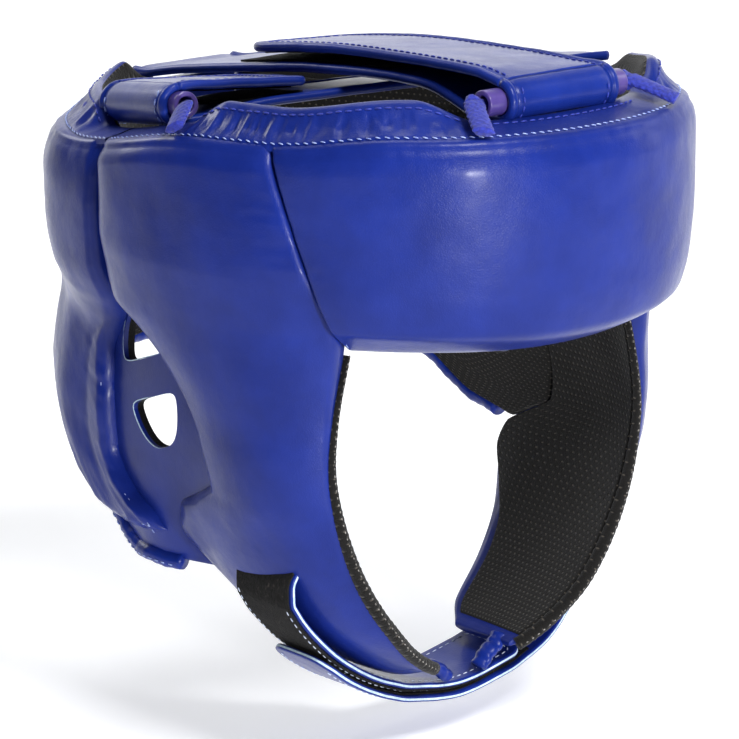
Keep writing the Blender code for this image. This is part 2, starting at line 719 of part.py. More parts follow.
def make_chin_straps():
    outline = jaw_outline()
    count = len(outline) - 1
    half = CHIN_WIDTH / 2
    inner = (-STRAP + 0.4, 0.0)
    under = inner[0] - GAP - TAPE
    over = under - GAP - TAPE - GAP
    right_hinge = Vector((outline[0][0], CHIN_MIDDLE_Y, outline[0][1]))
    left_hinge = Vector((outline[-1][0], CHIN_MIDDLE_Y, outline[-1][1]))
    band("right_chin_strap", outline, inner[0], inner[1], half, chin_place, strap_leather(), 0.0, 0.62,
         right_hinge)
    band("right_chin_loop_tape", outline, under, inner[0] - GAP, half - 2.0, chin_place, hook_and_loop(),
         0.02, 0.6, right_hinge)

    def outer_high(fraction):
        return over * smooth_step((0.84 - fraction) / 0.16)

    def outer_low(fraction):
        return outer_high(fraction) - STRAP + 0.4

    band("left_chin_strap", outline, outer_low, outer_high, half, chin_place, strap_leather(), 0.15, 1.0,
         left_hinge)
    band("left_chin_hook_tape", outline, over + GAP, over + GAP + TAPE, half - 2.0, chin_place,
         hook_and_loop(), 0.17, 0.58, left_hinge)
    make_chin_tabs(outline[count // 2][1])


def make_chin_tabs(strap_top):
    for word, side in (("right", -1.0), ("left", 1.0)):
        tip = point_by_y(-52.0, TIP_DROP, 3.0, side)
        path = [(tip.x - side * 1.0, tip.z - 1.0), (tip.x - side * 5.0, tip.z - 3.4),
                (tip.x - side * 10.0, strap_top + 2.2)]
        band(f"{word}_chin_tab", path, -0.7, 0.7, 6.0,
             lambda run, rise, across: Vector((run, -50.0 + across, rise)), binding_leather())


REAR_HINGE_ANGLE = 147.0
REAR_END_ANGLE = 202.0


def rear_place(run, rise, across):
    return Vector((run, rise, sum(REAR_STRAP) / 2 + across))


def make_rear_strap():
    """Wide closure across the back centre, sewn to the left rear pad."""
    path = []
    for k in range(17):
        angle = REAR_HINGE_ANGLE + (REAR_END_ANGLE - REAR_HINGE_ANGLE) * k / 16
        side = 1.0 if angle < 180.0 else -1.0
        depth = 25.4 + 2.4 * smooth_step(abs(180.0 - angle) / 26.0)
        point = point_by_angle(min(angle, 360.0 - angle, 179.98), -10.0, depth, side)
        path.append((point.x, point.y))
    half = (REAR_STRAP[1] - REAR_STRAP[0]) / 2
    hinge = Vector((path[0][0], path[0][1], sum(REAR_STRAP) / 2))
    band("rear_strap", path, -STRAP, 0.0, half, rear_place, strap_leather(), origin=hinge)
    band("rear_hook_tape", path, GAP, GAP + TAPE, half - 4.0, rear_place, hook_and_loop(), 0.6, 1.0, hinge)


for stale in list(bpy.data.objects):
    bpy.data.objects.remove(stale, do_unlink=True)

make_forehead()
for side_word, side_sign, nape_line in (("right", -1.0, NAPE_RIGHT), ("left", 1.0, NAPE_LEFT)):
    make_side_pad(side_word, side_sign)
    make_wing(side_word, side_sign, nape_line)
    make_binding(side_word, side_sign, nape_line)
    make_rear_pad(side_word, side_sign, nape_line)
make_yoke()
make_collar("front_right_collar", -1.0, 31.0, 74.0, LOW_COLLAR)
make_collar("front_left_collar", 1.0, 28.0, 60.0, TALL_COLLAR)
make_collar("rear_right_collar", -1.0, 134.0, 164.0, LOW_COLLAR)
make_collar("rear_left_collar", 1.0, 112.0, 164.0, LOW_COLLAR)
make_crown_strap()
make_cross_strap()
make_tubes_and_cords()
make_chin_straps()
make_rear_strap()
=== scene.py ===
"""Looks of an open-face boxing headgear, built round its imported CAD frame.

The wearer faces -Y, with the right ear at -X and +Z up. Lengths here are millimetres and angles degrees,
and meshes are written in metres. A place on the head is a drop (height down to the jaw line, then length
along the curving jaw), an angle from the front or a y, and a depth outwards from the head.
"""

import json
from math import cos, pi, radians, sin

import bmesh
import bpy
import numpy as np
from mathutils import Matrix, Vector, noise


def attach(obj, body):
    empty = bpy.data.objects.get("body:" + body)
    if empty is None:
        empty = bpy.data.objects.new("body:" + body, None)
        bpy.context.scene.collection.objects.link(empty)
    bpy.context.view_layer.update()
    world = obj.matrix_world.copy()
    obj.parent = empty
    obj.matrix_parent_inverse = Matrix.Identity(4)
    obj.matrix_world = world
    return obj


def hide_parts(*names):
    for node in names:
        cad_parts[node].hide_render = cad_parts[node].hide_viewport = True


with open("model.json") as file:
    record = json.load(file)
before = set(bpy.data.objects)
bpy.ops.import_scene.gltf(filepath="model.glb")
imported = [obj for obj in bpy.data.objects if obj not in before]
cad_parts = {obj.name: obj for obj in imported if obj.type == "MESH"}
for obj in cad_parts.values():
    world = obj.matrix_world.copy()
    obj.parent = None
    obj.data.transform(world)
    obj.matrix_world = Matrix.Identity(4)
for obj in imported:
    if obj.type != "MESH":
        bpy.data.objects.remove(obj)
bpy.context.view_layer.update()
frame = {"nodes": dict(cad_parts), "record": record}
MM = 0.001

# ---------------------------------------------------------------- camera and light helpers

CAMERA_AZIMUTH, CAMERA_ELEVATION = -41.15, 14.72
CAMERA_TARGET = Vector((0.0015, 0.0, -0.042))
CAMERA_DISTANCE = 1.370
LIGHT_TARGET = Vector((0.0, 0.0, -0.03))
FOCAL_PIXELS, FRAME_PIXELS, SENSOR = 3769.0, 739.0, 36.0


def direction(azimuth, elevation):
    a, e = radians(azimuth), radians(elevation)
    return Vector((sin(a) * cos(e), -cos(a) * cos(e), sin(e)))


def aimed(back):
    right = Vector((-back.y, back.x, 0.0)).normalized()
    return Matrix((right, back.cross(right), back)).transposed().to_4x4()


def put_facing(name, data, azimuth, elevation, distance, target):
    """Add a camera or light at a distance from its target, facing it."""
    back = direction(azimuth, elevation)
    made = bpy.data.objects.new(name, data)
    bpy.context.scene.collection.objects.link(made)
    matrix = aimed(back)
    matrix.translation = target + distance * back
    made.matrix_world = matrix
    return made


def make_camera():
    data = bpy.data.cameras.new("photo_camera")
    data.sensor_width = SENSOR
    data.lens = FOCAL_PIXELS * SENSOR / FRAME_PIXELS
    bpy.context.scene.camera = put_facing("photo_camera", data, CAMERA_AZIMUTH, CAMERA_ELEVATION,
                                          CAMERA_DISTANCE, CAMERA_TARGET)


def area_light(name, azimuth, elevation, distance, size, power):
    data = bpy.data.lights.new(name, "AREA")
    data.shape = "RECTANGLE"
    data.size, data.size_y = size
    data.energy = power
    put_facing(name, data, azimuth, elevation, distance, LIGHT_TARGET)


make_camera()

# ---------------------------------------------------------------- driving dimensions, as in the CAD model

HALF_WIDTH, HALF_LENGTH = 80.0, 96.0
ROUNDNESS, JAW_ROUNDNESS = 2.2, 3.2
JAW_LINE, JAW_DROP, JAW_NARROWING = -45.0, 94.0, 1.25
NAPE_FULLNESS, NAPE_TUCK = 0.45, 1.3
TIP_DROP = JAW_LINE - 1.26 * JAW_DROP
BROW_TOP, REAR_FALL, SIDE_FALL = 65.5, 12.0, 4.5
LINING_TOP = 1.8
FOOT = 2.3
MEDIAL_ANGLE = 168.0
EARS = {"right": ((20.0, -34.0), (14.5, 25.5)), "left": ((20.0, -30.0), (14.5, 22.5))}
EAR_TILT, EAR_BAR = 20.0, 12.0
FRONT_TUBE = (-95.0, 73.6)
SIDE_TUBE = Vector((-77.0, 27.0, 62.2))
CROSS_ANGLE, CROSS_TILT = 14.0, 8.5
TUBE_RADIUS, TUBE_BORE, TUBE_LENGTH = 4.6, 2.8, 64.0
CHIN_MIDDLE_Y = -37.0

FOREHEAD_LOW = -12.0
SEAM_ANGLE = ((FOREHEAD_LOW, 43.4), (25.0, 50.0), (BROW_TOP, 56.4))
FRONT_EDGE = ((TIP_DROP, -58.0), (-140.0, -63.0), (-118.0, -66.0), (-85.0, -65.6), (-45.0, -64.4),
              (-25.0, -64.0), (-12.0, -64.0), (25.0, -55.6), (BROW_TOP, -46.4))
REAR_EDGE = ((TIP_DROP, -28.0), (-150.0, -17.0), (-124.0, -9.0), (-110.0, -3.0), (-97.0, 6.0), (-86.0, 11.0),
             (-77.0, 8.0), (-70.0, -4.0), (-63.0, -15.0), (-50.0, -13.0), (-35.0, -6.0), (-20.0, 6.0),
             (-11.0, 17.0), (-3.0, 28.4), (BROW_TOP, 28.4))
WING_FRONT = ((-110.0, 3.0), (-96.0, 12.0), (-86.0, 15.0), (-77.0, 13.0), (-70.0, 3.0), (-63.0, -9.0),
              (-50.0, -9.0), (-35.0, -2.5), (-20.0, 9.0), (-11.0, 20.5), (-2.0, 30.0), (BROW_TOP, 30.0))
SIDE_MIDDLE = ((TIP_DROP, 8.5), (-136.0, 11.5), (-100.0, 13.5), (-70.0, 13.8), (-45.0, 15.5), (-20.0, 19.2),
               (16.0, 25.6))
SIDE_FRONT = ((TIP_DROP, 4.6), (-60.0, 4.2), (-40.0, 5.2), (-20.0, 9.5), (20.0, 22.0))
SIDE_REAR = ((TIP_DROP, 7.0), (-140.0, 9.5), (-110.0, 10.0), (-90.0, 8.6), (-70.0, 9.5), (-30.0, 12.5),
             (20.0, 22.0))
NAPES = {"right": ((95.0, -104.0), (115.0, -103.0), (122.0, -98.0), (129.0, -86.0), (140.0, -58.0),
                   (150.0, -44.0), (168.0, -40.0)),
         "left": ((95.0, -74.0), (110.0, -70.0), (127.0, -54.0), (145.0, -43.0), (168.0, -40.0))}
PAD_EDGE_RISE = ((95.0, 13.0), (128.0, 9.0), (150.0, 3.0))
REAR_PAD_FRONT = ((-95.0, 17.0), (-87.0, 22.0), (-79.0, 31.0), (-63.0, 40.0), (-26.0, 42.0), (-8.0, 34.0),
                  (0.0, 30.0))
SIDES = {"right": -1.0, "left": 1.0}


def smooth_step(value):
    clamped = np.clip(value, 0.0, 1.0)
    return clamped * clamped * (3.0 - 2.0 * clamped)


def along(knots, value):
    """Smooth line through (position, value) knots, which never overshoots them."""
    xs, ys = (np.array(column, float) for column in zip(*knots))
    slopes = np.diff(ys) / np.diff(xs)
    tangents = np.empty(len(xs))
    tangents[0], tangents[-1] = slopes[0], slopes[-1]
    product = slopes[:-1] * slopes[1:]
    total = np.where(product > 0.0, slopes[:-1] + slopes[1:], 1.0)
    tangents[1:-1] = np.where(product > 0.0, 2.0 * product / total, 0.0)
    value = np.clip(value, xs[0], xs[-1])
    k = np.clip(np.searchsorted(xs, value, side="right") - 1, 0, len(xs) - 2)
    width = xs[k + 1] - xs[k]
    t = (value - xs[k]) / width
    return (ys[k] * (2 * t ** 3 - 3 * t ** 2 + 1) + ys[k + 1] * (3 * t ** 2 - 2 * t ** 3)
            + width * (tangents[k] * (t ** 3 - 2 * t ** 2 + t) + tangents[k + 1] * (t ** 3 - t ** 2)))


def drop_to_height(drop):
    below = np.maximum(JAW_LINE - drop, 0.0)
    return np.where(drop >= JAW_LINE, drop, JAW_LINE - JAW_DROP * np.sin(below / JAW_DROP))


def plan_section(y, drop):
    bend = np.maximum(0.0, (JAW_LINE - drop) / JAW_DROP)
    backward = smooth_step((y + 10.0) / 40.0)
    half_width = HALF_WIDTH * np.cos(bend * (1.0 - NAPE_FULLNESS * backward)) ** JAW_NARROWING
    tuck = smooth_step((y + 10.0) / 60.0) * (1.0 - np.cos(NAPE_TUCK * bend))
    half_length = HALF_LENGTH * (1.0 - tuck)
    return half_width, half_length, ROUNDNESS + (JAW_ROUNDNESS - ROUNDNESS) * smooth_step(-drop / 60.0)


def head_by_y(y, drop):
    half_width, half_length, roundness = plan_section(y, drop)
    x = half_width * (1.0 - np.minimum(np.abs(y) / half_length, 0.999) ** roundness) ** (1.0 / roundness)
    return np.stack([x, y + 0.0 * x, drop_to_height(drop) + 0.0 * x], -1)


def head_by_angle(angle, drop):
    across, ahead = np.sin(np.radians(angle)), np.cos(np.radians(angle))
    y = -HALF_LENGTH * ahead
    for _ in range(4):
        half_width, half_length, roundness = plan_section(y, drop)
        reach = (np.abs(across) / half_width) ** roundness + (np.abs(ahead) / half_length) ** roundness
        radius = reach ** (-1.0 / roundness)
        y = -radius * ahead
    return np.stack([radius * across, y, drop_to_height(drop) + 0.0 * y], -1)


def angle_of_y(y, drop):
    point = head_by_y(y, drop)
    return np.degrees(np.arctan2(point[..., 0], -np.asarray(y)))


def lifted(surface, place, drop, depth, step):
    place, drop, depth = np.broadcast_arrays(*(np.asarray(a, float) for a in (place, drop, depth)))
    point = surface(place, drop)
    sideways = surface(place + step, drop) - surface(place - step, drop)
    upward = surface(place, drop + 0.5) - surface(place, drop - 0.5)
    normal = np.cross(sideways, upward)
    normal /= np.linalg.norm(normal, axis=-1, keepdims=True)
    outwards = ((point - np.array((0.0, 0.0, -20.0))) * normal).sum(-1, keepdims=True)
    return point + depth[..., None] * np.where(outwards < 0.0, -normal, normal)


def mirrored(points, side):
    return points * np.array((side, 1.0, 1.0))


def by_y(y, drop, depth, side):
    return mirrored(lifted(head_by_y, y, drop, depth, 0.5), side)


def by_angle(angle, drop, depth, side=1.0):
    """side is a number, or an array of signs where the angle itself may be negative."""
    points = lifted(head_by_angle, np.maximum(np.abs(angle), 0.02), drop, depth, 0.4)
    points[..., 0] = points[..., 0] * side
    return points


def round_the_back(angle, drop, depth):
    """Places by angles that go past 180, on to the wearer's right."""
    folded = np.minimum(np.minimum(angle, 360.0 - angle), 179.98)
    return by_angle(folded, drop, depth, np.where(angle < 180.0, 1.0, -1.0))


def top_drop(angle):
    side_fall = SIDE_FALL * smooth_step((angle - 34.0) / 24.0) * smooth_step((168.0 - angle) / 24.0)
    return BROW_TOP - REAR_FALL * smooth_step((angle - 70.0) / 55.0) - side_fall


def bumps(points, size, seed, octaves=2):
    """Smooth seeded noise between about -1 and 1 at each point, given in millimetres."""
    shape = points.shape[:-1]
    flat = (points.reshape(-1, 3) / size + np.array((seed * 7.3, seed * 3.1, seed * 5.7))).tolist()
    values = [noise.fractal(Vector(p), 0.7, 2.0, octaves) for p in flat]
    return np.array(values).reshape(shape)


# ---------------------------------------------------------------- mesh helpers


def new_object(name, vertices, faces, finishes, face_finish=None, uvs=None, smooth=True):
    mesh = bpy.data.meshes.new(name)
    mesh.from_pydata((np.asarray(vertices, float) * MM).tolist(), [], faces)
    for finish in finishes:
        mesh.materials.append(finish)
    if face_finish is not None:
        mesh.polygons.foreach_set("material_index", np.asarray(face_finish, np.int32))
    if uvs is not None:
        layer = mesh.uv_layers.new(name="millimetres")
        corners = np.empty(len(mesh.loops), np.int32)
        mesh.loops.foreach_get("vertex_index", corners)
        layer.data.foreach_set("uv", np.asarray(uvs, float)[corners].ravel())
    if smooth:
        mesh.shade_smooth()
    mesh.validate()
    made = bpy.data.objects.new(name, mesh)
    bpy.context.scene.collection.objects.link(made)
    return made


def grid_faces(rows, columns, first=0, wrap_columns=False, wrap_rows=False):
    faces = []
    for j in range(rows if wrap_rows else rows - 1):
        for i in range(columns if wrap_columns else columns - 1):
            after_i, after_j = (i + 1) % columns, (j + 1) % rows
            faces.append((first + j * columns + i, first + j * columns + after_i,
                          first + after_j * columns + after_i, first + after_j * columns + i))
    return faces


def border_ring(rows, columns):
    """Row and column of each point round the border of a grid, in order."""
    return ([(0, i) for i in range(columns)] + [(j, columns - 1) for j in range(1, rows)]
            + [(rows - 1, i) for i in range(columns - 2, -1, -1)] + [(j, 0) for j in range(rows - 2, 0, -1)])


def orient(made):
    """Face normals outwards, so bump and shading agree from every side."""
    source = bmesh.new()
    source.from_mesh(made.data)
    bmesh.ops.remove_doubles(source, verts=source.verts, dist=1e-6)
    bmesh.ops.recalc_face_normals(source, faces=source.faces)
    source.to_mesh(made.data)
    source.free()
    return made


def finish_piece(made, body, replaced=()):
    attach(made, body)
    if replaced:
        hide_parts(*replaced)
    return made


def spread(length, start_radius, end_radius, steps, turn_steps=7):
    """Positions along a length, closer together over the rolled rims at both ends."""
    turns = np.linspace(0.0, pi / 2, turn_steps + 1)
    start = start_radius * (1.0 - np.cos(turns))
    end = length - end_radius * (1.0 - np.cos(turns))[::-1]
    middle = np.linspace(start_radius, length - end_radius, steps + 1)
    return np.concatenate([start, middle[1:-1], end])


def roll(distance, radius, least):
    """Share of the full thickness at this distance from a rim that is rolled over with this radius."""
    t = np.clip(distance / radius, 0.0, 1.0)
    return least + (1.0 - least) * np.sqrt(np.maximum(0.0, 1.0 - (1.0 - t) ** 2))


TUCK, TUCK_DEPTH = 9.0, 1.0
TUCK_LEVELS = ((0.55, 0.0), (0.2, 0.04), (0.0, 0.12), (0.0, 0.4), (0.0, 0.7), (0.0, 1.0))


def pillow(name, place, thickness, size, rims, steps, detail, finish):
    """Padded cover. rims holds (radius, least share) for the left, right, bottom and top rims, in that order.

    detail(u, v, du, dv, points) gives a change of thickness; du and dv are distances in millimetres.
    The rim goes on down to the lining and tucks under it.
    """
    width, height = size
    (left, left_least), (right, right_least), (bottom, bottom_least), (top, top_least) = rims
    across = spread(width, left, right, steps[0])
    upwards = spread(height, bottom, top, steps[1])
    du, dv = np.meshgrid(across, upwards)
    u, v = du / width, dv / height
    left_least, right_least = (least(v) if callable(least) else least for least in (left_least, right_least))
    share = (roll(du, left, left_least) * roll(width - du, right, right_least)
             * roll(dv, bottom, bottom_least) * roll(height - dv, top, top_least))
    depth = FOOT + (thickness(u, v) - FOOT) * share
    points = place(u, v, depth)
    depth = depth + detail(u, v, du, dv, points)
    points = place(u, v, depth)
    rows, columns = u.shape
    ring = border_ring(rows, columns)
    rj, ri = (np.array(a) for a in zip(*ring))
    ru, rv = u[rj, ri], v[rj, ri]
    inset_u, inset_v = TUCK / width, TUCK / height
    rings = []
    for share_left, inset in TUCK_LEVELS:
        level = TUCK_DEPTH + (depth[rj, ri] - TUCK_DEPTH) * share_left
        cu = np.clip(ru, inset_u * inset, 1.0 - inset_u * inset)
        cv = np.clip(rv, inset_v * inset, 1.0 - inset_v * inset)
        rings.append(place(cu, cv, level))
    vertices = np.concatenate([points.reshape(-1, 3)] + rings)
    faces = grid_faces(rows, columns)
    count, base = len(ring), rows * columns
    previous = [j * columns + i for j, i in ring]
    for k in range(len(rings)):
        current = [base + k * count + n for n in range(count)]
        for n in range(count):
            after = (n + 1) % count
            faces.append((previous[n], current[n], current[after], previous[after]))
        previous = current
    border_uv = np.stack([du[rj, ri], dv[rj, ri]], -1)
    uvs = np.concatenate([np.stack([du, dv], -1).reshape(-1, 2)] + [border_uv] * len(rings))
    return orient(new_object(name, vertices, faces, [finish], uvs=uvs))


def slab(name, place, size, depths, steps, finish, edge=0.8, detail=None):
    """Thin layer with rounded borders between two depths; its UV map is in millimetres."""
    width, height = size
    across = spread(width, edge, edge, steps[0], 3)
    upwards = spread(height, edge, edge, steps[1], 3)
    du, dv = np.meshgrid(across, upwards)
    u, v = du / width, dv / height
    share = (roll(du, edge, 0.0) * roll(width - du, edge, 0.0)
             * roll(dv, edge, 0.0) * roll(height - dv, edge, 0.0))
    middle, half = (depths[0] + depths[1]) / 2, (depths[1] - depths[0]) / 2
    change = detail(u, v, du, dv) if detail else 0.0
    outer = place(u, v, middle + half * share + change)
    inner = place(u, v, middle - half * share + change)
    rows, columns = u.shape
    faces = grid_faces(rows, columns) + [face[::-1] for face in grid_faces(rows, columns, rows * columns)]
    uv = np.stack([du, dv], -1).reshape(-1, 2)
    made = new_object(name, np.concatenate([outer.reshape(-1, 3), inner.reshape(-1, 3)]), faces, [finish],
                      uvs=np.concatenate([uv, uv]))
    return orient(made)


def frames_along(points, hint):
    """Unit tangents, normals nearest the hint, and binormals at each point of a polyline."""
    points = np.asarray(points, float)
    tangents = np.gradient(points, axis=0)
    tangents /= np.linalg.norm(tangents, axis=1, keepdims=True)
    hint = np.broadcast_to(np.asarray(hint, float), points.shape)
    normals = hint - (hint * tangents).sum(1, keepdims=True) * tangents
    normals /= np.linalg.norm(normals, axis=1, keepdims=True)
    return tangents, normals, np.cross(tangents, normals)


def resampled(points, spacing):
    points = np.asarray(points, float)
    steps = np.linalg.norm(np.diff(points, axis=0), axis=1)
    lengths = np.concatenate([[0.0], np.cumsum(steps)])
    count = max(int(round(lengths[-1] / spacing)), 2)
    wanted = np.linspace(0.0, lengths[-1], count + 1)
    return np.stack([np.interp(wanted, lengths, points[:, k]) for k in range(3)], 1), wanted


def catmull(corners, steps):
    corners = np.asarray(corners, float)
    padded = np.concatenate([[2 * corners[0] - corners[1]], corners, [2 * corners[-1] - corners[-2]]])
    path = []
    for before, start, end, after in zip(padded, padded[1:], padded[2:], padded[3:]):
        for k in range(steps):
            t = k / steps
            square = (2 * before - 5 * start + 4 * end - after) * t ** 2
            cube = (3 * start - before - 3 * end + after) * t ** 3
            path.append(0.5 * (2 * start + (end - before) * t + square + cube))
    path.append(corners[-1])
    return np.array(path)


def tube(name, points, radii, finish, hint=(0.0, 0.0, 1.0), sides=12, spacing=1.0, wave=None):
    """Closed tube with an oval section. radii is (along the hint, across it).

    wave(length, turn) scales it.
    """
    path, lengths = resampled(points, spacing)
    if np.ndim(hint) == 2:
        share = np.linspace(0.0, 1.0, len(hint))
        hint = np.stack([np.interp(lengths / lengths[-1], share, hint[:, k]) for k in range(3)], 1)
    _, normals, binormals = frames_along(path, hint)
    turns = np.linspace(0.0, 2.0 * pi, sides, endpoint=False)
    rings = []
    for k, spot in enumerate(path):
        scale = np.ones(sides) if wave is None else wave(lengths[k], turns)
        rings.append(spot + (radii[0] * scale * np.cos(turns))[:, None] * normals[k]
                     + (radii[1] * scale * np.sin(turns))[:, None] * binormals[k])
    rows = len(path)
    faces = grid_faces(rows, sides, wrap_columns=True)
    faces.append(tuple(range(sides))[::-1])
    faces.append(tuple((rows - 1) * sides + k for k in range(sides)))
    uvs = np.stack([np.tile(turns * radii[1], rows), np.repeat(lengths, sides)], -1)
    return orient(new_object(name, np.concatenate(rings), faces, [finish], uvs=uvs))


STITCH_RINGS = ((-0.5, 0.02), (-0.38, 0.75), (0.0, 1.0), (0.38, 0.75), (0.5, 0.02))


def stitches(name, lines, body, finish, pitch=3.2, length=2.3, radius=0.34, slant=0.0):
    """Rows of sewn thread. Each line is a polyline and the outward direction at its points."""
    vertices, faces = [], []
    for points, outward in lines:
        points = np.asarray(points, float)
        outward = np.broadcast_to(np.asarray(outward, float), points.shape)
        joined, _ = resampled(points, pitch)
        steps = np.linspace(0.0, 1.0, len(points))
        wanted = np.linspace(0.0, 1.0, len(joined))
        hints = np.stack([np.interp(wanted, steps, outward[:, k]) for k in range(3)], 1)
        tangents, normals, binormals = frames_along(joined, hints)
        for spot, tangent, normal, binormal in zip(joined[:-1], tangents, normals, binormals):
            heading = tangent * cos(slant) + binormal * sin(slant)
            sideways = np.cross(heading, normal)
            base = len(vertices)
            for position, size in STITCH_RINGS:
                centre = spot + heading * position * length + normal * (0.12 * size - 0.05)
                for k in range(5):
                    turn = 2.0 * pi * k / 5
                    vertices.append(centre + radius * size * (cos(turn) * normal + sin(turn) * sideways))
            for ring in range(len(STITCH_RINGS) - 1):
                for k in range(5):
                    a, b = base + ring * 5 + k, base + ring * 5 + (k + 1) % 5
                    faces.append((a, b, b + 5, a + 5))
    return finish_piece(new_object(name, np.array(vertices), faces, [finish]), body)


# ---------------------------------------------------------------- materials


class Nodes:
    """Small helper that adds and joins shader nodes."""

    def __init__(self, name):
        self.material = bpy.data.materials.new(name)
        self.material.use_nodes = True
        self.tree = self.material.node_tree
        self.shader = self.tree.nodes["Principled BSDF"]

    def add(self, kind, **settings):
        node = self.tree.nodes.new(kind)
        for key, value in settings.items():
            if key in node.inputs:
                node.inputs[key].default_value = value
            else:
                setattr(node, key, value)
        return node

    def join(self, output, target):
        self.tree.links.new(output, target)

    def feed(self, socket, output):
        self.join(output, self.shader.inputs[socket])

    def set(self, **values):
        for key, value in values.items():
            self.shader.inputs[key.replace("_", " ")].default_value = value

    def math(self, operation, first, second=None):
        node = self.add("ShaderNodeMath", operation=operation)
        for socket, value in zip(node.inputs, (first, second)):
            if isinstance(value, (int, float)):
                socket.default_value = value
            elif value is not None:
                self.join(value, socket)
        return node.outputs[0]

    def ramp(self, source, stops):
        node = self.add("ShaderNodeValToRGB")
        elements = node.color_ramp.elements
        while len(elements) < len(stops):
            elements.new(0.5)
        for element, (position, colour) in zip(elements, stops):
            element.position = position
            element.color = (*colour, 1.0)
        self.join(source, node.inputs["Fac"])
        return node.outputs["Color"]

    def noise(self, scale, detail=2.0, roughness=0.5, vector=None):
        node = self.add("ShaderNodeTexNoise", Scale=scale, Detail=detail, Roughness=roughness)
        self.join(vector or self.place(), node.inputs["Vector"])
        return node.outputs["Fac"]

    def place(self):
        return self.add("ShaderNodeTexCoord").outputs["Object"]

    def bump(self, height, distance, strength=1.0, below=None):
        node = self.add("ShaderNodeBump", Strength=strength, Distance=distance)
        self.join(height, node.inputs["Height"])
        if below is not None:
            self.join(below, node.inputs["Normal"])
        return node.outputs["Normal"]


def leather(name, deep, light, roughness, grain=1.0, coat=0.5):
    """Coated synthetic leather: fine pebble grain, faint mottling, and shine that varies a little."""
    n = Nodes(name)
    mottle = n.noise(38.0, 3.0, 0.6)
    n.feed("Base Color", n.ramp(mottle, ((0.3, deep), (0.7, light))))
    wear = n.noise(90.0, 4.0, 0.65)
    low, high = roughness - 0.05, roughness + 0.07
    n.feed("Roughness", n.ramp(wear, ((0.3, (low,) * 3), (0.75, (high,) * 3))))
    cells = n.add("ShaderNodeTexVoronoi", feature="DISTANCE_TO_EDGE", Scale=1150.0)
    n.join(n.place(), cells.inputs["Vector"])
    pebbles = n.math("MINIMUM", cells.outputs["Distance"], 0.22)
    fine = n.bump(pebbles, 0.00022 * grain, 0.55)
    n.feed("Normal", n.bump(n.noise(260.0, 3.0, 0.6), 0.00035 * grain, 0.4, fine))
    n.set(Coat_Weight=coat, Coat_Roughness=0.21, Coat_IOR=1.25, Specular_IOR_Level=0.14)
    return n.material


def mesh_fabric(name, ground, dot, pitch=3.1):
    """Black spacer mesh with staggered small pale dots, drawn on the millimetre UV map."""
    n = Nodes(name)
    uv = n.add("ShaderNodeUVMap", uv_map="millimetres").outputs["UV"]
    split = n.add("ShaderNodeSeparateXYZ")
    n.join(uv, split.inputs[0])
    row = n.math("FLOOR", n.math("DIVIDE", split.outputs["Y"], pitch * 0.78))
    shift = n.math("MULTIPLY", n.math("MODULO", n.math("ABSOLUTE", row), 2.0), 0.5)
    along_row = n.math("ADD", n.math("DIVIDE", split.outputs["X"], pitch), shift)
    x = n.math("SUBTRACT", n.math("FRACT", along_row), 0.5)
    y = n.math("SUBTRACT", n.math("FRACT", n.math("DIVIDE", split.outputs["Y"], pitch * 0.78)), 0.5)
    reach = n.math("SQRT", n.math("ADD", n.math("MULTIPLY", x, x), n.math("MULTIPLY", y, y)))
    faint = n.noise(260.0, 1.0)
    reach = n.math("ADD", reach, n.math("MULTIPLY", n.math("SUBTRACT", faint, 0.5), 0.10))
    n.feed("Base Color", n.ramp(reach, ((0.085, dot), (0.16, ground))))
    weave = n.add("ShaderNodeTexVoronoi", Scale=1600.0)
    n.join(n.place(), weave.inputs["Vector"])
    fine = n.bump(weave.outputs["Distance"], 0.0003, 0.6)
    n.feed("Normal", n.bump(n.ramp(reach, ((0.10, (0.0,) * 3), (0.30, (1.0,) * 3))), 0.0004, 0.8, fine))
    n.set(Roughness=0.92, Sheen_Weight=0.12, Specular_IOR_Level=0.25)
    return n.material


def fuzzy_tape(name, dark, pale):
    """Hook and loop tape: a dense mat of tiny loops with stray pale fibres."""
    n = Nodes(name)
    mat = n.noise(600.0, 6.0, 0.78)
    n.feed("Base Color", n.ramp(mat, ((0.42, dark), (0.60, tuple(2.5 * c for c in dark)), (0.72, pale))))
    n.feed("Normal", n.bump(mat, 0.0012, 1.0))
    n.set(Roughness=0.95, Sheen_Weight=0.04, Specular_IOR_Level=0.2)
    return n.material


def mottled(name, cloud, stops, relief):
    """Cloudy colour over a fine bump. cloud holds noise settings; relief is (scale, distance, strength)."""
    n = Nodes(name)
    n.feed("Base Color", n.ramp(n.noise(*cloud), stops))
    scale, distance, strength = relief
    n.feed("Normal", n.bump(n.noise(scale, 2.0), distance, strength))
    return n


def thread(name, colour, dark):
    n = mottled(name, (1400.0, 2.0), ((0.35, dark), (0.6, colour)), (2600.0, 0.0001, 0.6))
    n.set(Roughness=0.6, Sheen_Weight=0.1)
    return n.material


def plastic(name, deep, light):
    n = mottled(name, (120.0, 2.0), ((0.3, deep), (0.7, light)), (500.0, 0.0001, 0.25))
    n.set(Roughness=0.28, Subsurface_Weight=0.25, Coat_Weight=0.3, Coat_Roughness=0.15,
          Subsurface_Radius=(0.002, 0.001, 0.004))
    return n.material


def woven(name, dark, light, scale):
    n = mottled(name, (scale, 3.0, 0.7), ((0.35, dark), (0.65, light)), (scale * 1.6, 0.0002, 0.8))
    n.set(Roughness=0.8, Sheen_Weight=0.15)
    return n.material


def stage_material(name, colour):
    n = Nodes(name)
    paler = tuple(min(1.0, 1.01 * c) for c in colour)
    n.feed("Base Color", n.ramp(n.noise(3.0, 2.0), ((0.3, colour), (0.7, paler))))
    n.set(Roughness=0.9, Emission_Strength=0.42, Emission_Color=(*colour, 1.0), Specular_IOR_Level=0.1)
    return n.material


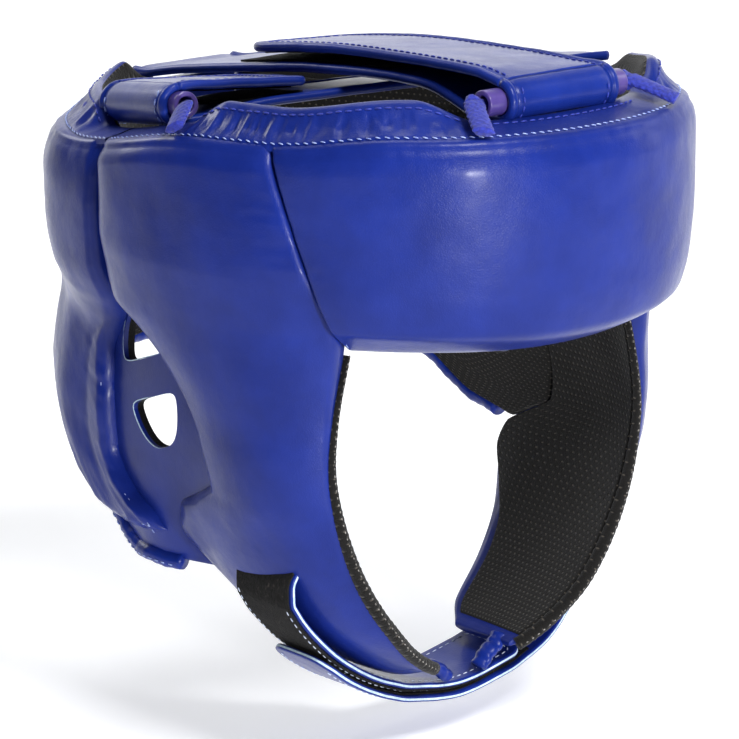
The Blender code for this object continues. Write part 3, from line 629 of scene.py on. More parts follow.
SKIN = leather("royal_blue_leather", (0.0058, 0.0170, 0.165), (0.0095, 0.0260, 0.235), 0.35)
STRAP_SKIN = leather("strap_leather", (0.0058, 0.0195, 0.185), (0.0095, 0.0300, 0.260), 0.33, 0.8, 0.5)
BINDING = leather("binding_leather", (0.0058, 0.0195, 0.190), (0.0095, 0.0300, 0.265), 0.32, 0.6, 0.5)
MESH = mesh_fabric("spacer_mesh", (0.0052, 0.0046, 0.0042), (0.085, 0.074, 0.060))
TAPE = fuzzy_tape("hook_and_loop", (0.0035, 0.0032, 0.0030), (0.11, 0.09, 0.075))
THREAD = thread("pale_thread", (0.42, 0.52, 0.86), (0.16, 0.22, 0.60))
DARK_THREAD = thread("blue_thread", (0.020, 0.045, 0.42), (0.008, 0.018, 0.25))
EDGE_THREAD = thread("edge_thread", (0.34, 0.32, 0.30), (0.12, 0.11, 0.10))
WHITE_THREAD = thread("white_thread", (0.72, 0.78, 0.90), (0.42, 0.50, 0.72))
RAW_EDGE = woven("raw_backing_edge", (0.42, 0.58, 0.72), (0.66, 0.80, 0.90), 700.0)
PLASTIC = plastic("violet_tube", (0.060, 0.040, 0.20), (0.10, 0.065, 0.28))
BRAID = woven("braided_cord", (0.006, 0.012, 0.20), (0.020, 0.036, 0.42), 900.0)
FOAM = woven("foam_edge", (0.010, 0.010, 0.011), (0.020, 0.020, 0.022), 500.0)


# ---------------------------------------------------------------- padded parts


def puckers(s, distance, pitch, reach, amount, seed):
    """Gathers that run away from a seam: s is the length along it, and they fade over the reach."""
    field = np.stack([s / pitch, distance / (reach * 1.6), np.full(s.shape, seed * 11.7)], -1)
    ridge = bumps(field, 1.0, seed, 2)
    return amount * ridge * np.exp(-np.maximum(distance, 0.0) / reach)


def groove(distance, centre, width, amount):
    return -amount * np.exp(-((distance - centre) / width) ** 2)


SEAM_CLOSE = 0.45


def forehead_place(u, v, depth):
    limit = along(SEAM_ANGLE, FOREHEAD_LOW + (BROW_TOP - FOREHEAD_LOW) * v)
    angle = (2.0 * u - 1.0) * (limit + SEAM_CLOSE)
    low = FOREHEAD_LOW + smooth_step(np.abs(angle) / 45.0)
    drop = low + (top_drop(np.abs(angle)) - low) * v
    return by_angle(angle, drop, depth, np.where(angle < 0.0, -1.0, 1.0))


def forehead_thickness(u, v):
    upright = along(((0.0, 14.0), (0.13, 23.0), (0.32, 26.0), (0.6, 26.6), (0.85, 26.4), (1.0, 24.0)), v)
    return upright * (1.0 - 0.18 * np.abs(2.0 * u - 1.0) ** 4)


FOREHEAD_SIZE = (208.0, 78.0)


def forehead_detail(u, v, du, dv, points):
    width, height = FOREHEAD_SIZE
    seam = np.minimum(du, width - du)
    change = 0.5 * bumps(points, 34.0, 1.0) + 0.10 * bumps(points, 9.0, 2.0)
    change += puckers(dv, seam, 4.6, 5.5, 0.30, 3.0)
    change += puckers(du, height - dv, 5.0, 7.0, 0.35, 4.0)
    change += groove(height - dv, 3.2, 1.3, 0.7)
    return change


def side_place(side):
    def place(u, v, depth):
        drop = TIP_DROP + (BROW_TOP - TIP_DROP) * v
        front, rear = along(FRONT_EDGE, drop), along(REAR_EDGE, drop)
        y = front + (rear - front) * u
        fall = BROW_TOP - top_drop(angle_of_y(y, drop))
        lowered = drop - fall * smooth_step((drop - 20.0) / (BROW_TOP - 20.0))
        return by_y(y, lowered, depth, side)
    return place


def side_thickness(u, v):
    drop = TIP_DROP + (BROW_TOP - TIP_DROP) * v
    middle, front, rear = (along(knots, drop) for knots in (SIDE_MIDDLE, SIDE_FRONT, SIDE_REAR))
    crown = 1.0 - np.abs(2.0 * u - 1.0) ** (2.1 + 0.5 * smooth_step((drop + 40.0) / 30.0))
    full = (front + (rear - front) * u) * (1.0 - crown) + middle * crown
    top_rounding = 1.0 - 0.1 * smooth_step((drop - BROW_TOP + 10.0) / 10.0)
    tip_rounding = 1.0 - 0.3 * smooth_step((TIP_DROP + 10.0 - drop) / 10.0)
    return full * top_rounding * tip_rounding


SIDE_SIZE = (66.0, 234.0)


def side_detail(u, v, du, dv, points):
    width, height = SIDE_SIZE
    drop = TIP_DROP + (BROW_TOP - TIP_DROP) * v
    change = 0.45 * bumps(points, 30.0, 5.0) + 0.10 * bumps(points, 8.0, 6.0)
    change += puckers(dv, du, 4.6, 5.5, 0.30, 7.0) * smooth_step((drop + 14.0) / 6.0)
    change += puckers(du, height - dv, 5.0, 7.0, 0.35, 8.0)
    change += groove(height - dv, 3.2, 1.3, 0.7)
    lobe = np.exp(-((drop + 80.0) / 16.0) ** 2)
    change += puckers(dv, width - du, 5.5, 9.0, 0.8, 9.0) * lobe
    return change


TIP_BORDER = 6.0


def make_lining(name, place, size, steps, body_node, border=0.0):
    """Mesh layer inside a pad. border is how much of the cover shows round its lower tip."""
    width, height = size
    inset = 0.6

    def inner(u, v, depth):
        low = (inset + border) / height
        v = low + v * (1.0 - low - inset / height)
        rear = (inset + border * smooth_step((0.34 - v) / 0.12)) / width
        return place(inset / width + u * (1.0 - inset / width - rear), v, depth)

    def quilt(u, v, du, dv):
        return 0.18 * np.sin(du / 7.0) * np.sin(dv / 9.0)

    made = slab(name, inner, size, (0.15, LINING_TOP), steps, MESH, 0.9, quilt)
    return finish_piece(made, "shell", (body_node,))


def make_forehead():
    rims = ((1.7, 0.9), (1.7, 0.9), (9.0, 0.05), (4.0, 0.84))
    made = pillow("forehead_pad", forehead_place, forehead_thickness, FOREHEAD_SIZE, rims, (150, 56),
                  forehead_detail, SKIN)
    finish_piece(made, "shell", ("forehead_cover", "forehead_foam"))
    make_lining("forehead_mesh", forehead_place, FOREHEAD_SIZE, (90, 36), "forehead_lining")


def make_side(word):
    side = SIDES[word]

    def seam_share(low, high):
        def share(v):
            drop = TIP_DROP + (BROW_TOP - TIP_DROP) * v
            return low + (high - low) * smooth_step((drop + 14.0) / 18.0)
        return share

    rims = ((1.8, seam_share(0.5, 0.9)), (9.0, seam_share(0.12, 0.66)), (5.0, 0.2), (4.0, 0.84))
    made = pillow(f"{word}_side_pad", side_place(side), side_thickness, SIDE_SIZE, rims, (48, 170),
                  side_detail, SKIN)
    finish_piece(made, "shell", (f"{word}_side_cover", f"{word}_side_foam"))
    make_lining(f"{word}_side_mesh", side_place(side), SIDE_SIZE, (34, 110), f"{word}_side_lining",
                TIP_BORDER)
    drops = np.linspace(-13.0, TIP_DROP + 3.0, 70)
    fatness = 1.25 + 1.15 * smooth_step((-20.0 - drops) / 100.0)
    edge = by_y(along(FRONT_EDGE, drops) - 0.35 * fatness, drops, 0.4 + fatness, side)
    ahead = np.broadcast_to((0.0, -1.0, 0.0), edge.shape)
    fat = tube(f"{word}_cheek_edge", edge, (1.0, 1.0), MESH, (0.0, -1.0, 0.0), 14, 1.3,
               lambda s, turn: (1.25 + 1.15 * smooth_step((s - 8.0) / 90.0)) * (1.0 + 0.06 * np.sin(s * 2.1)))
    finish_piece(fat, "shell")
    line = edge + ahead * fatness[:, None]
    stitches(f"{word}_cheek_edge_stitches", [(line, ahead)], "shell", EDGE_THREAD, 2.6, 0.9, 0.26)


WING_ROWS = ((0.0, 0.0), (0.5, 0.3), (1.0, 1.0))
WING_UNDER_SIDE_PAD = 5.0
WING_SIZE = (122.0, 150.0)
MESH_SKIN, PANEL_SKIN = (0.1, 2.9), (3.0, 4.8)


def wing_place(side, nape):
    def place(u, v, depth):
        row = along(WING_ROWS, v)
        low = along(nape, 95.0)
        guess = low + (BROW_TOP - low) * row
        start = angle_of_y(along(WING_FRONT, guess) - WING_UNDER_SIDE_PAD, guess)
        angle = start + (MEDIAL_ANGLE - start) * u
        low = along(nape, angle)
        return by_angle(angle, low + (top_drop(angle) - 1.5 - low) * row, depth, side)
    return place


def ear_hole_outline(word, upper, grow=0.0, steps=40):
    centre, (half_across, half_up) = EARS[word]
    tilt, sign = radians(EAR_TILT), 1.0 if upper else -1.0
    start = np.arcsin(0.5 * EAR_BAR / half_up)
    turn = start + (pi - 2.0 * start) * np.linspace(0.0, 1.0, steps)
    across = (half_across + grow) * np.sign(np.cos(turn)) * np.abs(np.cos(turn)) ** 0.8
    up = sign * (half_up + grow) * np.abs(np.sin(turn)) ** 0.9
    y = centre[0] + across * cos(tilt) + up * sin(tilt)
    z = centre[1] - across * sin(tilt) + up * cos(tilt)
    return np.stack([y, z], -1)


def rounded_outline(outline):
    """The closed outline with its two sharp corners rounded."""
    start, end = outline[-1], outline[0]
    ring = np.concatenate([outline, start + (end - start) * np.linspace(0.0, 1.0, 12)[1:-1, None]])
    for _ in range(4):
        ring = 0.5 * ring + 0.25 * (np.roll(ring, 1, 0) + np.roll(ring, -1, 0))
    return ring


def cut_ear_holes(made, word):
    side = SIDES[word]
    for upper in (True, False):
        ring = rounded_outline(ear_hole_outline(word, upper))
        count = len(ring)
        near = np.concatenate([np.full((count, 1), side * 60.0), ring], 1)
        far = np.concatenate([np.full((count, 1), side * 110.0), ring], 1)
        faces = [(k, (k + 1) % count, count + (k + 1) % count, count + k) for k in range(count)]
        faces += [tuple(range(count)), tuple(range(count, 2 * count))]
        cutter = orient(new_object("ear_cutter", np.concatenate([near, far]), faces, []))
        cut = made.modifiers.new("hole", "BOOLEAN")
        cut.operation, cut.solver, cut.object = "DIFFERENCE", "EXACT", cutter
        apply_modifiers(made)
        bpy.data.objects.remove(cutter, do_unlink=True)


def apply_modifiers(made):
    graph = bpy.context.evaluated_depsgraph_get()
    graph.update()
    baked = bpy.data.meshes.new_from_object(made.evaluated_get(graph))
    made.modifiers.clear()
    made.data = baked


def make_wing(word):
    side, nape = SIDES[word], NAPES[word]
    place = wing_place(side, nape)
    panel = slab(f"{word}_ear_panel", place, WING_SIZE, PANEL_SKIN, (60, 70), SKIN, 0.8,
                 lambda u, v, du, dv: 0.25 * np.sin(du / 9.0) * np.sin(dv / 11.0))
    cut_ear_holes(panel, word)
    panel.data.shade_smooth()
    panel.data.set_sharp_from_angle(angle=radians(40.0))
    finish_piece(panel, "shell", (f"{word}_wing_panel",))
    backing = slab(f"{word}_ear_mesh", place, WING_SIZE, MESH_SKIN, (60, 70), MESH, 0.8)
    cut_ear_holes(backing, word)
    backing.data.set_sharp_from_angle(angle=radians(40.0))
    finish_piece(backing, "shell", (f"{word}_wing_lining",))
    for upper in (True, False):
        ring = rounded_outline(ear_hole_outline(word, upper, -0.1))
        ring = np.concatenate([ring, ring[:1]])
        points = by_y(ring[:, 0], ring[:, 1], 4.6, side)
        place_name = "upper" if upper else "lower"
        rim = tube(f"{word}_{place_name}_hole_edge", points, (0.22, 0.22), RAW_EDGE, (side, 0.0, 0.0), 6, 1.2)
        finish_piece(rim, "shell")


def make_binding(word):
    side, nape = SIDES[word], NAPES[word]
    angles = np.linspace(102.0, MEDIAL_ANGLE, 90)
    edge = by_angle(angles, along(nape, angles), 3.1, side)
    out = by_angle(angles, along(nape, angles), 6.1, side) - edge
    out /= np.linalg.norm(out, axis=1, keepdims=True)
    run = np.gradient(edge, axis=0)
    below = np.cross(run, out)
    below *= np.where(below[:, 2:] > 0.0, -1.0, 1.0) / np.linalg.norm(below, axis=1, keepdims=True)
    path = edge + 1.2 * below + 0.9 * out

    def lumps(s, turn):
        return 1.0 + 0.05 * np.sin(s / 2.3 + 2.0 * np.sin(turn)) + 0.03 * np.sin(s * 1.3 + turn)

    made = tube(f"{word}_nape_edge", path, (3.8, 3.3), BINDING, out, 18, 1.2, lumps)
    finish_piece(made, "shell", (f"{word}_nape_binding",))
    line = (path[3:-3] + 3.75 * out[3:-3], out[3:-3])
    stitches(f"{word}_nape_stitches", [line], "shell", THREAD, 3.4, 2.2, 0.3)


def rear_place(side, nape):
    def place(u, v, depth):
        low_guess = along(nape, 106.0 + (MEDIAL_ANGLE - 106.0) * u) + 8.0
        guess = low_guess + (BROW_TOP - low_guess) * v
        start = angle_of_y(along(REAR_PAD_FRONT, guess), guess)
        angle = start + (MEDIAL_ANGLE - start) * u
        low = along(nape, angle) + along(PAD_EDGE_RISE, angle)
        return by_angle(angle, low + (top_drop(angle) - low) * v, depth, side)
    return place


REAR_PAD_SEAT, REAR_PAD_LEAST = 4.4, 10.4


def rear_thickness(side):
    """Depth of a rear pad. The right one is slimmer along its low front border."""
    def thickness(u, v):
        middle = 27.0 - 4.5 * smooth_step((u - 0.35) / 0.5)
        border = 0.36 + 0.42 * smooth_step((v - 0.45) / 0.25)
        t = along(((0.0, 0.0), (0.14, 0.45), (0.36, 1.0), (1.0, 1.0)), u)
        sideways = (border + (1.0 - border) * t) * along(((0.0, 1.0), (0.75, 1.0), (1.0, 0.68)), u)
        upright = along(((0.0, 0.58), (0.12, 0.72), (0.35, 0.80), (0.6, 0.95), (0.86, 1.0), (1.0, 0.86)), v)
        slim = along(((0.0, 0.08), (0.12, 0.14), (0.35, 0.18), (0.5, 0.15), (0.68, 0.02), (1.0, 0.0)), v)
        share = smooth_step((0.56 - u) / 0.24) if side < 0.0 else 0.0
        return np.maximum(middle * sideways * (upright - slim * share), REAR_PAD_LEAST)
    return thickness


REAR_SIZE = (104.0, 132.0)


def rear_detail(u, v, du, dv, points):
    height = REAR_SIZE[1]
    change = 0.5 * bumps(points, 30.0, 12.0) + 0.10 * bumps(points, 8.0, 13.0)
    low = smooth_step((0.6 - v) / 0.3)
    change += puckers(dv, du, 4.2, 8.0, 0.9, 14.0) * (0.25 + 0.75 * low)
    change += puckers(du, dv, 3.6, 9.0, 1.3, 15.0) * (0.5 + 0.5 * low)
    change += puckers(du, height - dv, 5.0, 7.0, 0.35, 16.0)
    change += groove(height - dv, 3.2, 1.3, 0.7) + groove(du, 2.6, 1.0, 0.5) + groove(dv, 2.6, 1.0, 0.5)
    return change


def make_rear(word):
    side, nape = SIDES[word], NAPES[word]
    place = rear_place(side, nape)

    def above_panel(u, v, depth):
        return place(u, v, np.maximum(depth, REAR_PAD_SEAT))

    rims = ((4.0, lambda v: 0.3 + 0.5 * smooth_step((v - 0.5) / 0.2)), (8.0, 0.25), (5.0, 0.3), (4.0, 0.80))
    made = pillow(f"{word}_rear_pad", above_panel, rear_thickness(side), REAR_SIZE, rims, (70, 90),
                  rear_detail, SKIN)
    finish_piece(made, "shell", (f"{word}_rear_cover", f"{word}_rear_foam"))


make_forehead()
for side_word in ("right", "left"):
    make_side(side_word)
    make_wing(side_word)
    make_binding(side_word)
    make_rear(side_word)


# ---------------------------------------------------------------- top rim


def rim_peak(side_word, angle):
    """Height of the rolled rim above the pads, which rises into a standing collar in places."""
    if side_word == "right":
        front = 8.0 * smooth_step((angle - 19.0) / 13.0) * smooth_step((84.0 - angle) / 13.0)
        rear = 9.0 * smooth_step((angle - 120.0) / 8.0) * smooth_step((166.0 - angle) / 8.0)
    else:
        front = 9.0 * smooth_step((angle - 23.0) / 13.0) * smooth_step((66.0 - angle) / 12.0)
        rear = 6.0 * smooth_step((angle - 110.0) / 12.0) * smooth_step((166.0 - angle) / 8.0)
    return 2.6 + front + rear


def rim_seam_depth(angle):
    return along(((0.0, 21.2), (45.0, 20.2), (57.0, 19.0), (75.0, 19.9), (100.0, 19.0), (109.0, 17.0),
                  (125.0, 19.0), (150.0, 17.4), (168.0, 14.0)), angle)


RIM_PROFILE = ((0.0, -0.9), (0.03, 0.02), (0.12, 0.16), (0.3, 0.38), (0.47, 0.66), (0.58, 0.86), (0.67, 0.97),
               (0.75, 1.0), (0.82, 0.95), (0.88, 0.8), (0.92, 0.55), (0.95, 0.2), (0.97, -0.3), (0.985, -0.8))
RIM_LINING_FROM = 0.80
RIM_RADIUS = 90.0
RIM_PARTS = (("front", 0.02, 107.6), ("rear", 109.0, 167.6))


def outward_from_rim(angle, depth, side):
    return by_angle(angle, top_drop(angle), depth + 1.0, side) - by_angle(angle, top_drop(angle), depth, side)


def rim_points(side_word, angle, q):
    """q runs from the outer seam, at 0, over the roll to the lining, at 1."""
    side = SIDES[side_word]
    peak = rim_peak(side_word, angle)
    seam = rim_seam_depth(angle)
    stand = smooth_step((peak - 3.0) / 5.0)
    lean = stand * (3.5 if side_word == "left" else 0.5)
    steps = np.linspace(0, 1, len(RIM_PROFILE))
    share, rise = (along(tuple(zip(steps, column)), q) for column in zip(*RIM_PROFILE))
    depth = seam + (1.2 - seam) * share + lean * np.maximum(rise, 0.0) * smooth_step(share / 0.6)
    height = rise * np.where(rise > 0.0, peak, 2.2)
    feet = by_angle(angle, top_drop(angle), depth, side)
    run = np.radians(angle) * RIM_RADIUS
    gather = puckers(run, np.abs(share - 0.3) * 14.0, 3.2, 6.0, 1.2, 21.0 + side) * stand
    gather = gather * np.exp(-((share - 0.30) / 0.26) ** 2)
    feet[..., 2] += height + gather * 0.8
    return feet + outward_from_rim(angle, depth, side) * (gather * 0.6)[..., None]


def make_rim(side_word, part, start, end, replaced):
    angles = np.linspace(start, end, int((end - start) * 2.2))
    q = np.linspace(0.0, 1.0, 44)
    grid_q, grid_angle = np.meshgrid(q, angles)
    points = rim_points(side_word, grid_angle, grid_q)
    rows, columns = grid_q.shape
    faces = grid_faces(rows, columns)
    share = np.interp(grid_q, np.linspace(0, 1, len(RIM_PROFILE)), [p[0] for p in RIM_PROFILE])
    inner = (share[:-1, :-1].ravel() > RIM_LINING_FROM).astype(int)
    uvs = np.stack([np.radians(grid_angle) * 88.0, share * 22.0], -1).reshape(-1, 2)
    made = new_object(f"{side_word}_{part}_rim", points.reshape(-1, 3), faces, [SKIN, MESH], inner, uvs)
    finish_piece(made, "shell", replaced)
    side = SIDES[side_word]
    inset = np.linspace(start + 0.6, end - 0.6, 160)
    seam_line = rim_points(side_word, inset, np.full(inset.shape, 0.085))
    hint = outward_from_rim(inset, 20.0, side) + np.array((0.0, 0.0, 0.9))
    stitches(f"{side_word}_{part}_seam_stitches", [(seam_line + 0.2 * hint, hint)], "shell", THREAD,
             3.1, 2.0, 0.26, 0.3)
    tall = inset[(rim_peak(side_word, inset) > 5.0) | (inset < 19.0)]
    if len(tall) > 5:
        lines = []
        for group in np.split(tall, np.where(np.diff(tall) > 2.0)[0] + 1):
            line = rim_points(side_word, group, np.full(group.shape, 0.36))
            hint = outward_from_rim(group, 20.0, side) + np.array((0.0, 0.0, 1.0))
            lines.append((line + 0.22 * hint, hint))
        stitches(f"{side_word}_{part}_roll_stitches", lines, "shell", DARK_THREAD, 3.4, 2.4, 0.34)


def yoke_place(u, v, depth):
    angle = 169.4 + 21.2 * u
    return round_the_back(angle, 15.0 + 38.6 * v, depth)


def make_yoke():
    def thickness(u, v):
        return 17.0 - 3.0 * np.abs(2.0 * v - 1.0) ** 4 + 0.0 * u

    def detail(u, v, du, dv, points):
        return 0.4 * bumps(points, 14.0, 31.0) + puckers(dv, du, 4.0, 6.0, 0.5, 32.0)

    made = pillow("rear_yoke_pad", yoke_place, thickness, (42.0, 38.6), ((4.0, 0.2),) * 2 + ((6.0, 0.1),) * 2,
                  (24, 22), detail, SKIN)
    finish_piece(made, "shell", ("rear_yoke",))


# ---------------------------------------------------------------- straps

GAP, STRAP_THICK, TAIL_THICK, TAPE_THICK, CHIN_THICK = 0.35, 2.6, 2.8, 0.8, 2.2
WRAP = TUBE_RADIUS + GAP + STRAP_THICK / 2
BEAD = 1.75


def rise_line(path, spacing=1.2):
    """A side-view path at an even spacing, with its lengths and left-hand normals."""
    path = np.asarray(path, float)
    solid = np.concatenate([path, np.zeros((len(path), 1))], 1)
    points, lengths = resampled(solid, spacing)
    points = points[:, :2]
    tangents = np.gradient(points, axis=0)
    tangents /= np.linalg.norm(tangents, axis=1, keepdims=True)
    return points, lengths, np.stack([-tangents[:, 1], tangents[:, 0]], 1)


class Ribbon:
    """A strap along a side-view path.

    Places on it are a length, a distance across and a height off its middle.
    """

    def __init__(self, path, half, place, round_end=0.0, round_start=0.0):
        self.points, self.lengths, self.normals = rise_line(path)
        self.half, self.place = half, place
        self.end, self.start = round_end, round_start
        self.total = self.lengths[-1]

    def at(self, s, across, height):
        x, y = (np.interp(s, self.lengths, self.points[:, k]) for k in range(2))
        nx, ny = (np.interp(s, self.lengths, self.normals[:, k]) for k in range(2))
        return self.place(x + height * nx, y + height * ny, across)

    def width(self, s, inset=0.0):
        """Half width at this length, where an end is rounded."""
        half = np.full(np.shape(s), self.half - inset)
        for radius, distance in ((self.end, self.total - s), (self.start, s)):
            if radius > 0.0:
                r = max(radius - inset, 0.5)
                t = np.clip(r - (distance - inset), 0.0, r)
                half = np.minimum(half, self.half - inset - r + np.sqrt(np.maximum(r * r - t * t, 0.0)))
        return half

    def border_distance(self, s, across):
        distance = self.half - np.abs(across)
        for radius, left in ((self.end, self.total - s), (self.start, s)):
            if radius > 0.0:
                a = np.abs(across) - (self.half - radius)
                b = radius - left
                corner = radius - np.hypot(np.maximum(a, 0.0), np.maximum(b, 0.0))
                distance = np.minimum(distance, np.where((a > 0) & (b > 0), corner, left))
        return np.maximum(distance, 0.0)


def strap(name, ribbon, thick, finishes, bead=0.0, edge_share=0.0, ripple=0.0, seed=40.0, lift=0.0):
    """Solid strap. finishes holds those of its left face, right face and border."""
    turn = np.linspace(0.0, pi / 2, 9)
    rim = max(2.0 * bead, 0.8)
    near = rim * (1.0 - np.cos(turn)) if bead == 0.0 else rim * (0.5 - 0.5 * np.cos(2.0 * turn))
    near = near / ribbon.half
    middle = np.linspace(near[-1], 2.0 - near[-1], 22)[1:-1]
    across = np.concatenate([near, middle, 2.0 - near[::-1]]) - 1.0
    s = np.linspace(0.0, ribbon.total, max(int(ribbon.total / 1.3), 6))
    ends = []
    if ribbon.end > 0.0:
        ends.append(ribbon.total - ribbon.end * (1.0 - np.cos(np.linspace(0.0, pi / 2, 16))))
    if ribbon.start > 0.0:
        ends.append(ribbon.start * (1.0 - np.cos(np.linspace(0.0, pi / 2, 16))))
    s = np.unique(np.round(np.concatenate([s] + ends), 4))
    grid_t, grid_s = np.meshgrid(across, s)
    grid_a = grid_t * ribbon.width(grid_s)
    d = ribbon.border_distance(grid_s, grid_a)
    panel = thick / 2 * roll(d, 0.8, edge_share)
    height = panel
    if bead > 0.0:
        ring = bead * np.sqrt(np.maximum(0.0, 1.0 - np.clip(d / bead - 1.0, -1.0, 1.0) ** 2))
        inner = thick / 2 * smooth_step((d - 1.5 * bead) / (0.8 * bead))
        height = np.maximum(ring, inner) + groove(d, 2.0 * bead + 2.2, 0.6, 0.18)
    flat = np.stack([grid_s, grid_a, np.full(grid_s.shape, seed)], -1)
    wave = ripple * bumps(flat, 11.0, seed) if ripple else 0.0
    upper = ribbon.at(grid_s, grid_a, lift + height + wave)
    lower = ribbon.at(grid_s, grid_a, lift - height + wave)
    rows, columns = grid_s.shape
    faces = grid_faces(rows, columns)
    count = len(faces)
    faces += [face[::-1] for face in grid_faces(rows, columns, rows * columns)]
    loop = [j * columns + i for j, i in border_ring(rows, columns)]
    for k in range(len(loop)):
        a, b = loop[k], loop[(k + 1) % len(loop)]
        faces.append((b, a, a + rows * columns, b + rows * columns))
    kinds = [0] * count + [1] * count + [2] * len(loop)
    uv = np.stack([grid_a, grid_s], -1).reshape(-1, 2)
    vertices = np.concatenate([upper.reshape(-1, 3), lower.reshape(-1, 3)])
    return orient(new_object(name, vertices, faces, finishes, kinds, np.concatenate([uv, uv])))


def tape_patch(name, ribbon, body, node, seed, lift, thick=TAPE_THICK, ripple=0.2):
    made = strap(name, ribbon, thick, [TAPE] * 3, edge_share=0.6, ripple=ripple, seed=seed, lift=lift)
    finish_piece(made, body, (node,))


def border_line(ribbon, inset, height, start=0.0, ends=True):
    """Stitch line that follows a strap's border, and its outward directions."""
    s = np.linspace(start, ribbon.total - inset, 90)
    width = ribbon.width(s, inset)
    one, two = np.stack([s, width], 1), np.stack([s, -width], 1)[::-1]
    route = np.concatenate([one, two]) if ends and ribbon.end > 0.0 else None
    lines = []
    for piece in ([route] if route is not None else [one, two]):
        points = ribbon.at(piece[:, 0], piece[:, 1], height)
        above = ribbon.at(piece[:, 0], piece[:, 1], height + np.sign(height))
        lines.append((points, above - points))
    return lines


def arc(centre, radius, start, end, steps):
    turns = np.radians(np.linspace(start, end, steps + 1))
    return np.stack([centre[0] + radius * np.cos(turns), centre[1] + radius * np.sin(turns)], 1)


def side_curve(corners, steps=8):
    return catmull([(a, b, 0.0) for a, b in corners], steps)[:, :2]


def sewn_band(name, ribbon, body, nodes, thick, ripple, seed, line, finish=DARK_THREAD, bead=BEAD, lift=0.0):
    """Piped strap with stitches inside its border. line is (inset, height, start)."""
    made = strap(name, ribbon, thick, [STRAP_SKIN] * 3, bead, ripple=ripple, seed=seed, lift=lift)
    finish_piece(made, body, nodes)
    stitches(f"{name}_stitches", border_line(ribbon, *line), body, finish)


def chin_band(word, ribbon, seed, line, thread_radius):
    body = f"{word}_chin_strap"
    made = strap(f"{word}_chin_band", ribbon, CHIN_THICK, [STRAP_SKIN, STRAP_SKIN, RAW_EDGE],
                 edge_share=0.36, ripple=0.15, seed=seed, lift=-1.1)
    finish_piece(made, body, (body,))
    stitches(f"{word}_chin_stitches", border_line(ribbon, *line), body, WHITE_THREAD, 3.2, 2.0, thread_radius)


def crown_place(run, rise, across):
    run, rise, across = np.broadcast_arrays(run, rise, across)
    return np.stack([across, run, rise], -1)


def crown_tail_place(run, rise, across):
    """The tail lies a little lower on the wearer's left."""
    tilt = 0.045 * smooth_step((run + 96.0) / 14.0)
    return crown_place(run, rise - tilt * across, across)


def make_crown():
    back = side_curve([(104.0, 57.2), (96.0, 57.6), (78.0, 61.0), (51.0, 65.2), (29.0, 68.4), (9.0, 71.0),
                       (-18.0, 73.4), (-45.0, 74.6), (-62.0, 73.8), (-76.0, 69.6), (-86.0, 65.8)])
    loop = arc(FRONT_TUBE, WRAP, 266.0, 98.0, 26)
    half = 25.2
    lower = Ribbon(np.concatenate([back[:-4], loop]), half, crown_place)
    sewn_band("crown_band", lower, "shell", ("crown_strap",), STRAP_THICK, 0.12, 41.0, (5.6, 1.32))
    run = side_curve([(-95.9, FRONT_TUBE[1] + WRAP - 0.06), (-90.0, 80.4), (-80.0, 80.9), (-60.0, 80.9),
                      (-18.0, 79.6), (9.0, 77.2), (27.0, 74.9), (42.0, 72.6)])
    tail = Ribbon(run, half, crown_tail_place, 15.0)
    nodes = ("crown_tail", "crown_tail_piping")
    sewn_band("crown_flap", tail, "crown_tail", nodes, TAIL_THICK, 0.14, 42.0, (5.8, 1.42, 1.0))
    patch = Ribbon(back[int(0.32 * len(back)):int(0.66 * len(back))], half - 7.0, crown_place)
    tape_patch("crown_loop_patch", patch, "shell", "crown_loop_tape", 43.0, -1.75)
    patch = Ribbon(run[int(0.5 * len(run)):int(0.93 * len(run))], half - 7.0, crown_tail_place)
    tape_patch("crown_hook_patch", patch, "crown_tail", "crown_hook_tape", 44.0, -2.1)


CROSS_RUN = np.array((cos(radians(CROSS_ANGLE)), -sin(radians(CROSS_ANGLE)), 0.0))
CROSS_ACROSS = np.array((sin(radians(CROSS_ANGLE)) * cos(radians(CROSS_TILT)),
                         cos(radians(CROSS_ANGLE)) * cos(radians(CROSS_TILT)), -sin(radians(CROSS_TILT))))


def cross_place(run, rise, across):
    run, rise, across = (np.asarray(a, float)[..., None] for a in np.broadcast_arrays(run, rise, across))
    start = np.array((SIDE_TUBE.x, SIDE_TUBE.y, 0.0))
    return start + run * CROSS_RUN + across * CROSS_ACROSS + rise * np.array((0.0, 0.0, 1.0))


def make_cross():
    back = side_curve([(170.0, 65.6), (152.0, 65.4), (128.0, 64.0), (104.0, 62.6), (77.0, 61.8), (52.0, 61.0),
                       (34.0, 60.2), (20.0, 58.4), (9.0, 56.0)])
    loop = arc((0.0, SIDE_TUBE.z), WRAP, 266.0, 96.0, 26)
    half = 27.4
    lower = Ribbon(np.concatenate([back[:-3], loop]), half, cross_place)
    sewn_band("cross_band", lower, "shell", ("cross_strap",), STRAP_THICK, 0.12, 45.0, (5.4, 1.32), THREAD)
    run = side_curve([(-0.6, SIDE_TUBE.z + WRAP - 0.05), (5.0, SIDE_TUBE.z + WRAP + 0.2), (12.0, 68.2),
                      (26.0, 67.7), (38.0, 67.0), (49.0, 66.6)])
    tail = Ribbon(run, half, cross_place, 4.0)
    sewn_band("cross_flap", tail, "cross_tail", ("cross_tail",), TAIL_THICK, 0.16, 46.0, (5.6, 1.42, 1.0))
    patch = Ribbon(back[int(0.64 * len(back)):int(0.86 * len(back))], half - 6.0, cross_place)
    tape_patch("cross_loop_patch", patch, "shell", "cross_loop_tape", 47.0, -1.75)
    patch = Ribbon(run[int(0.4 * len(run)):int(0.94 * len(run))], half - 6.0, cross_place)
    tape_patch("cross_hook_patch", patch, "cross_tail", "cross_hook_tape", 48.0, -2.1)


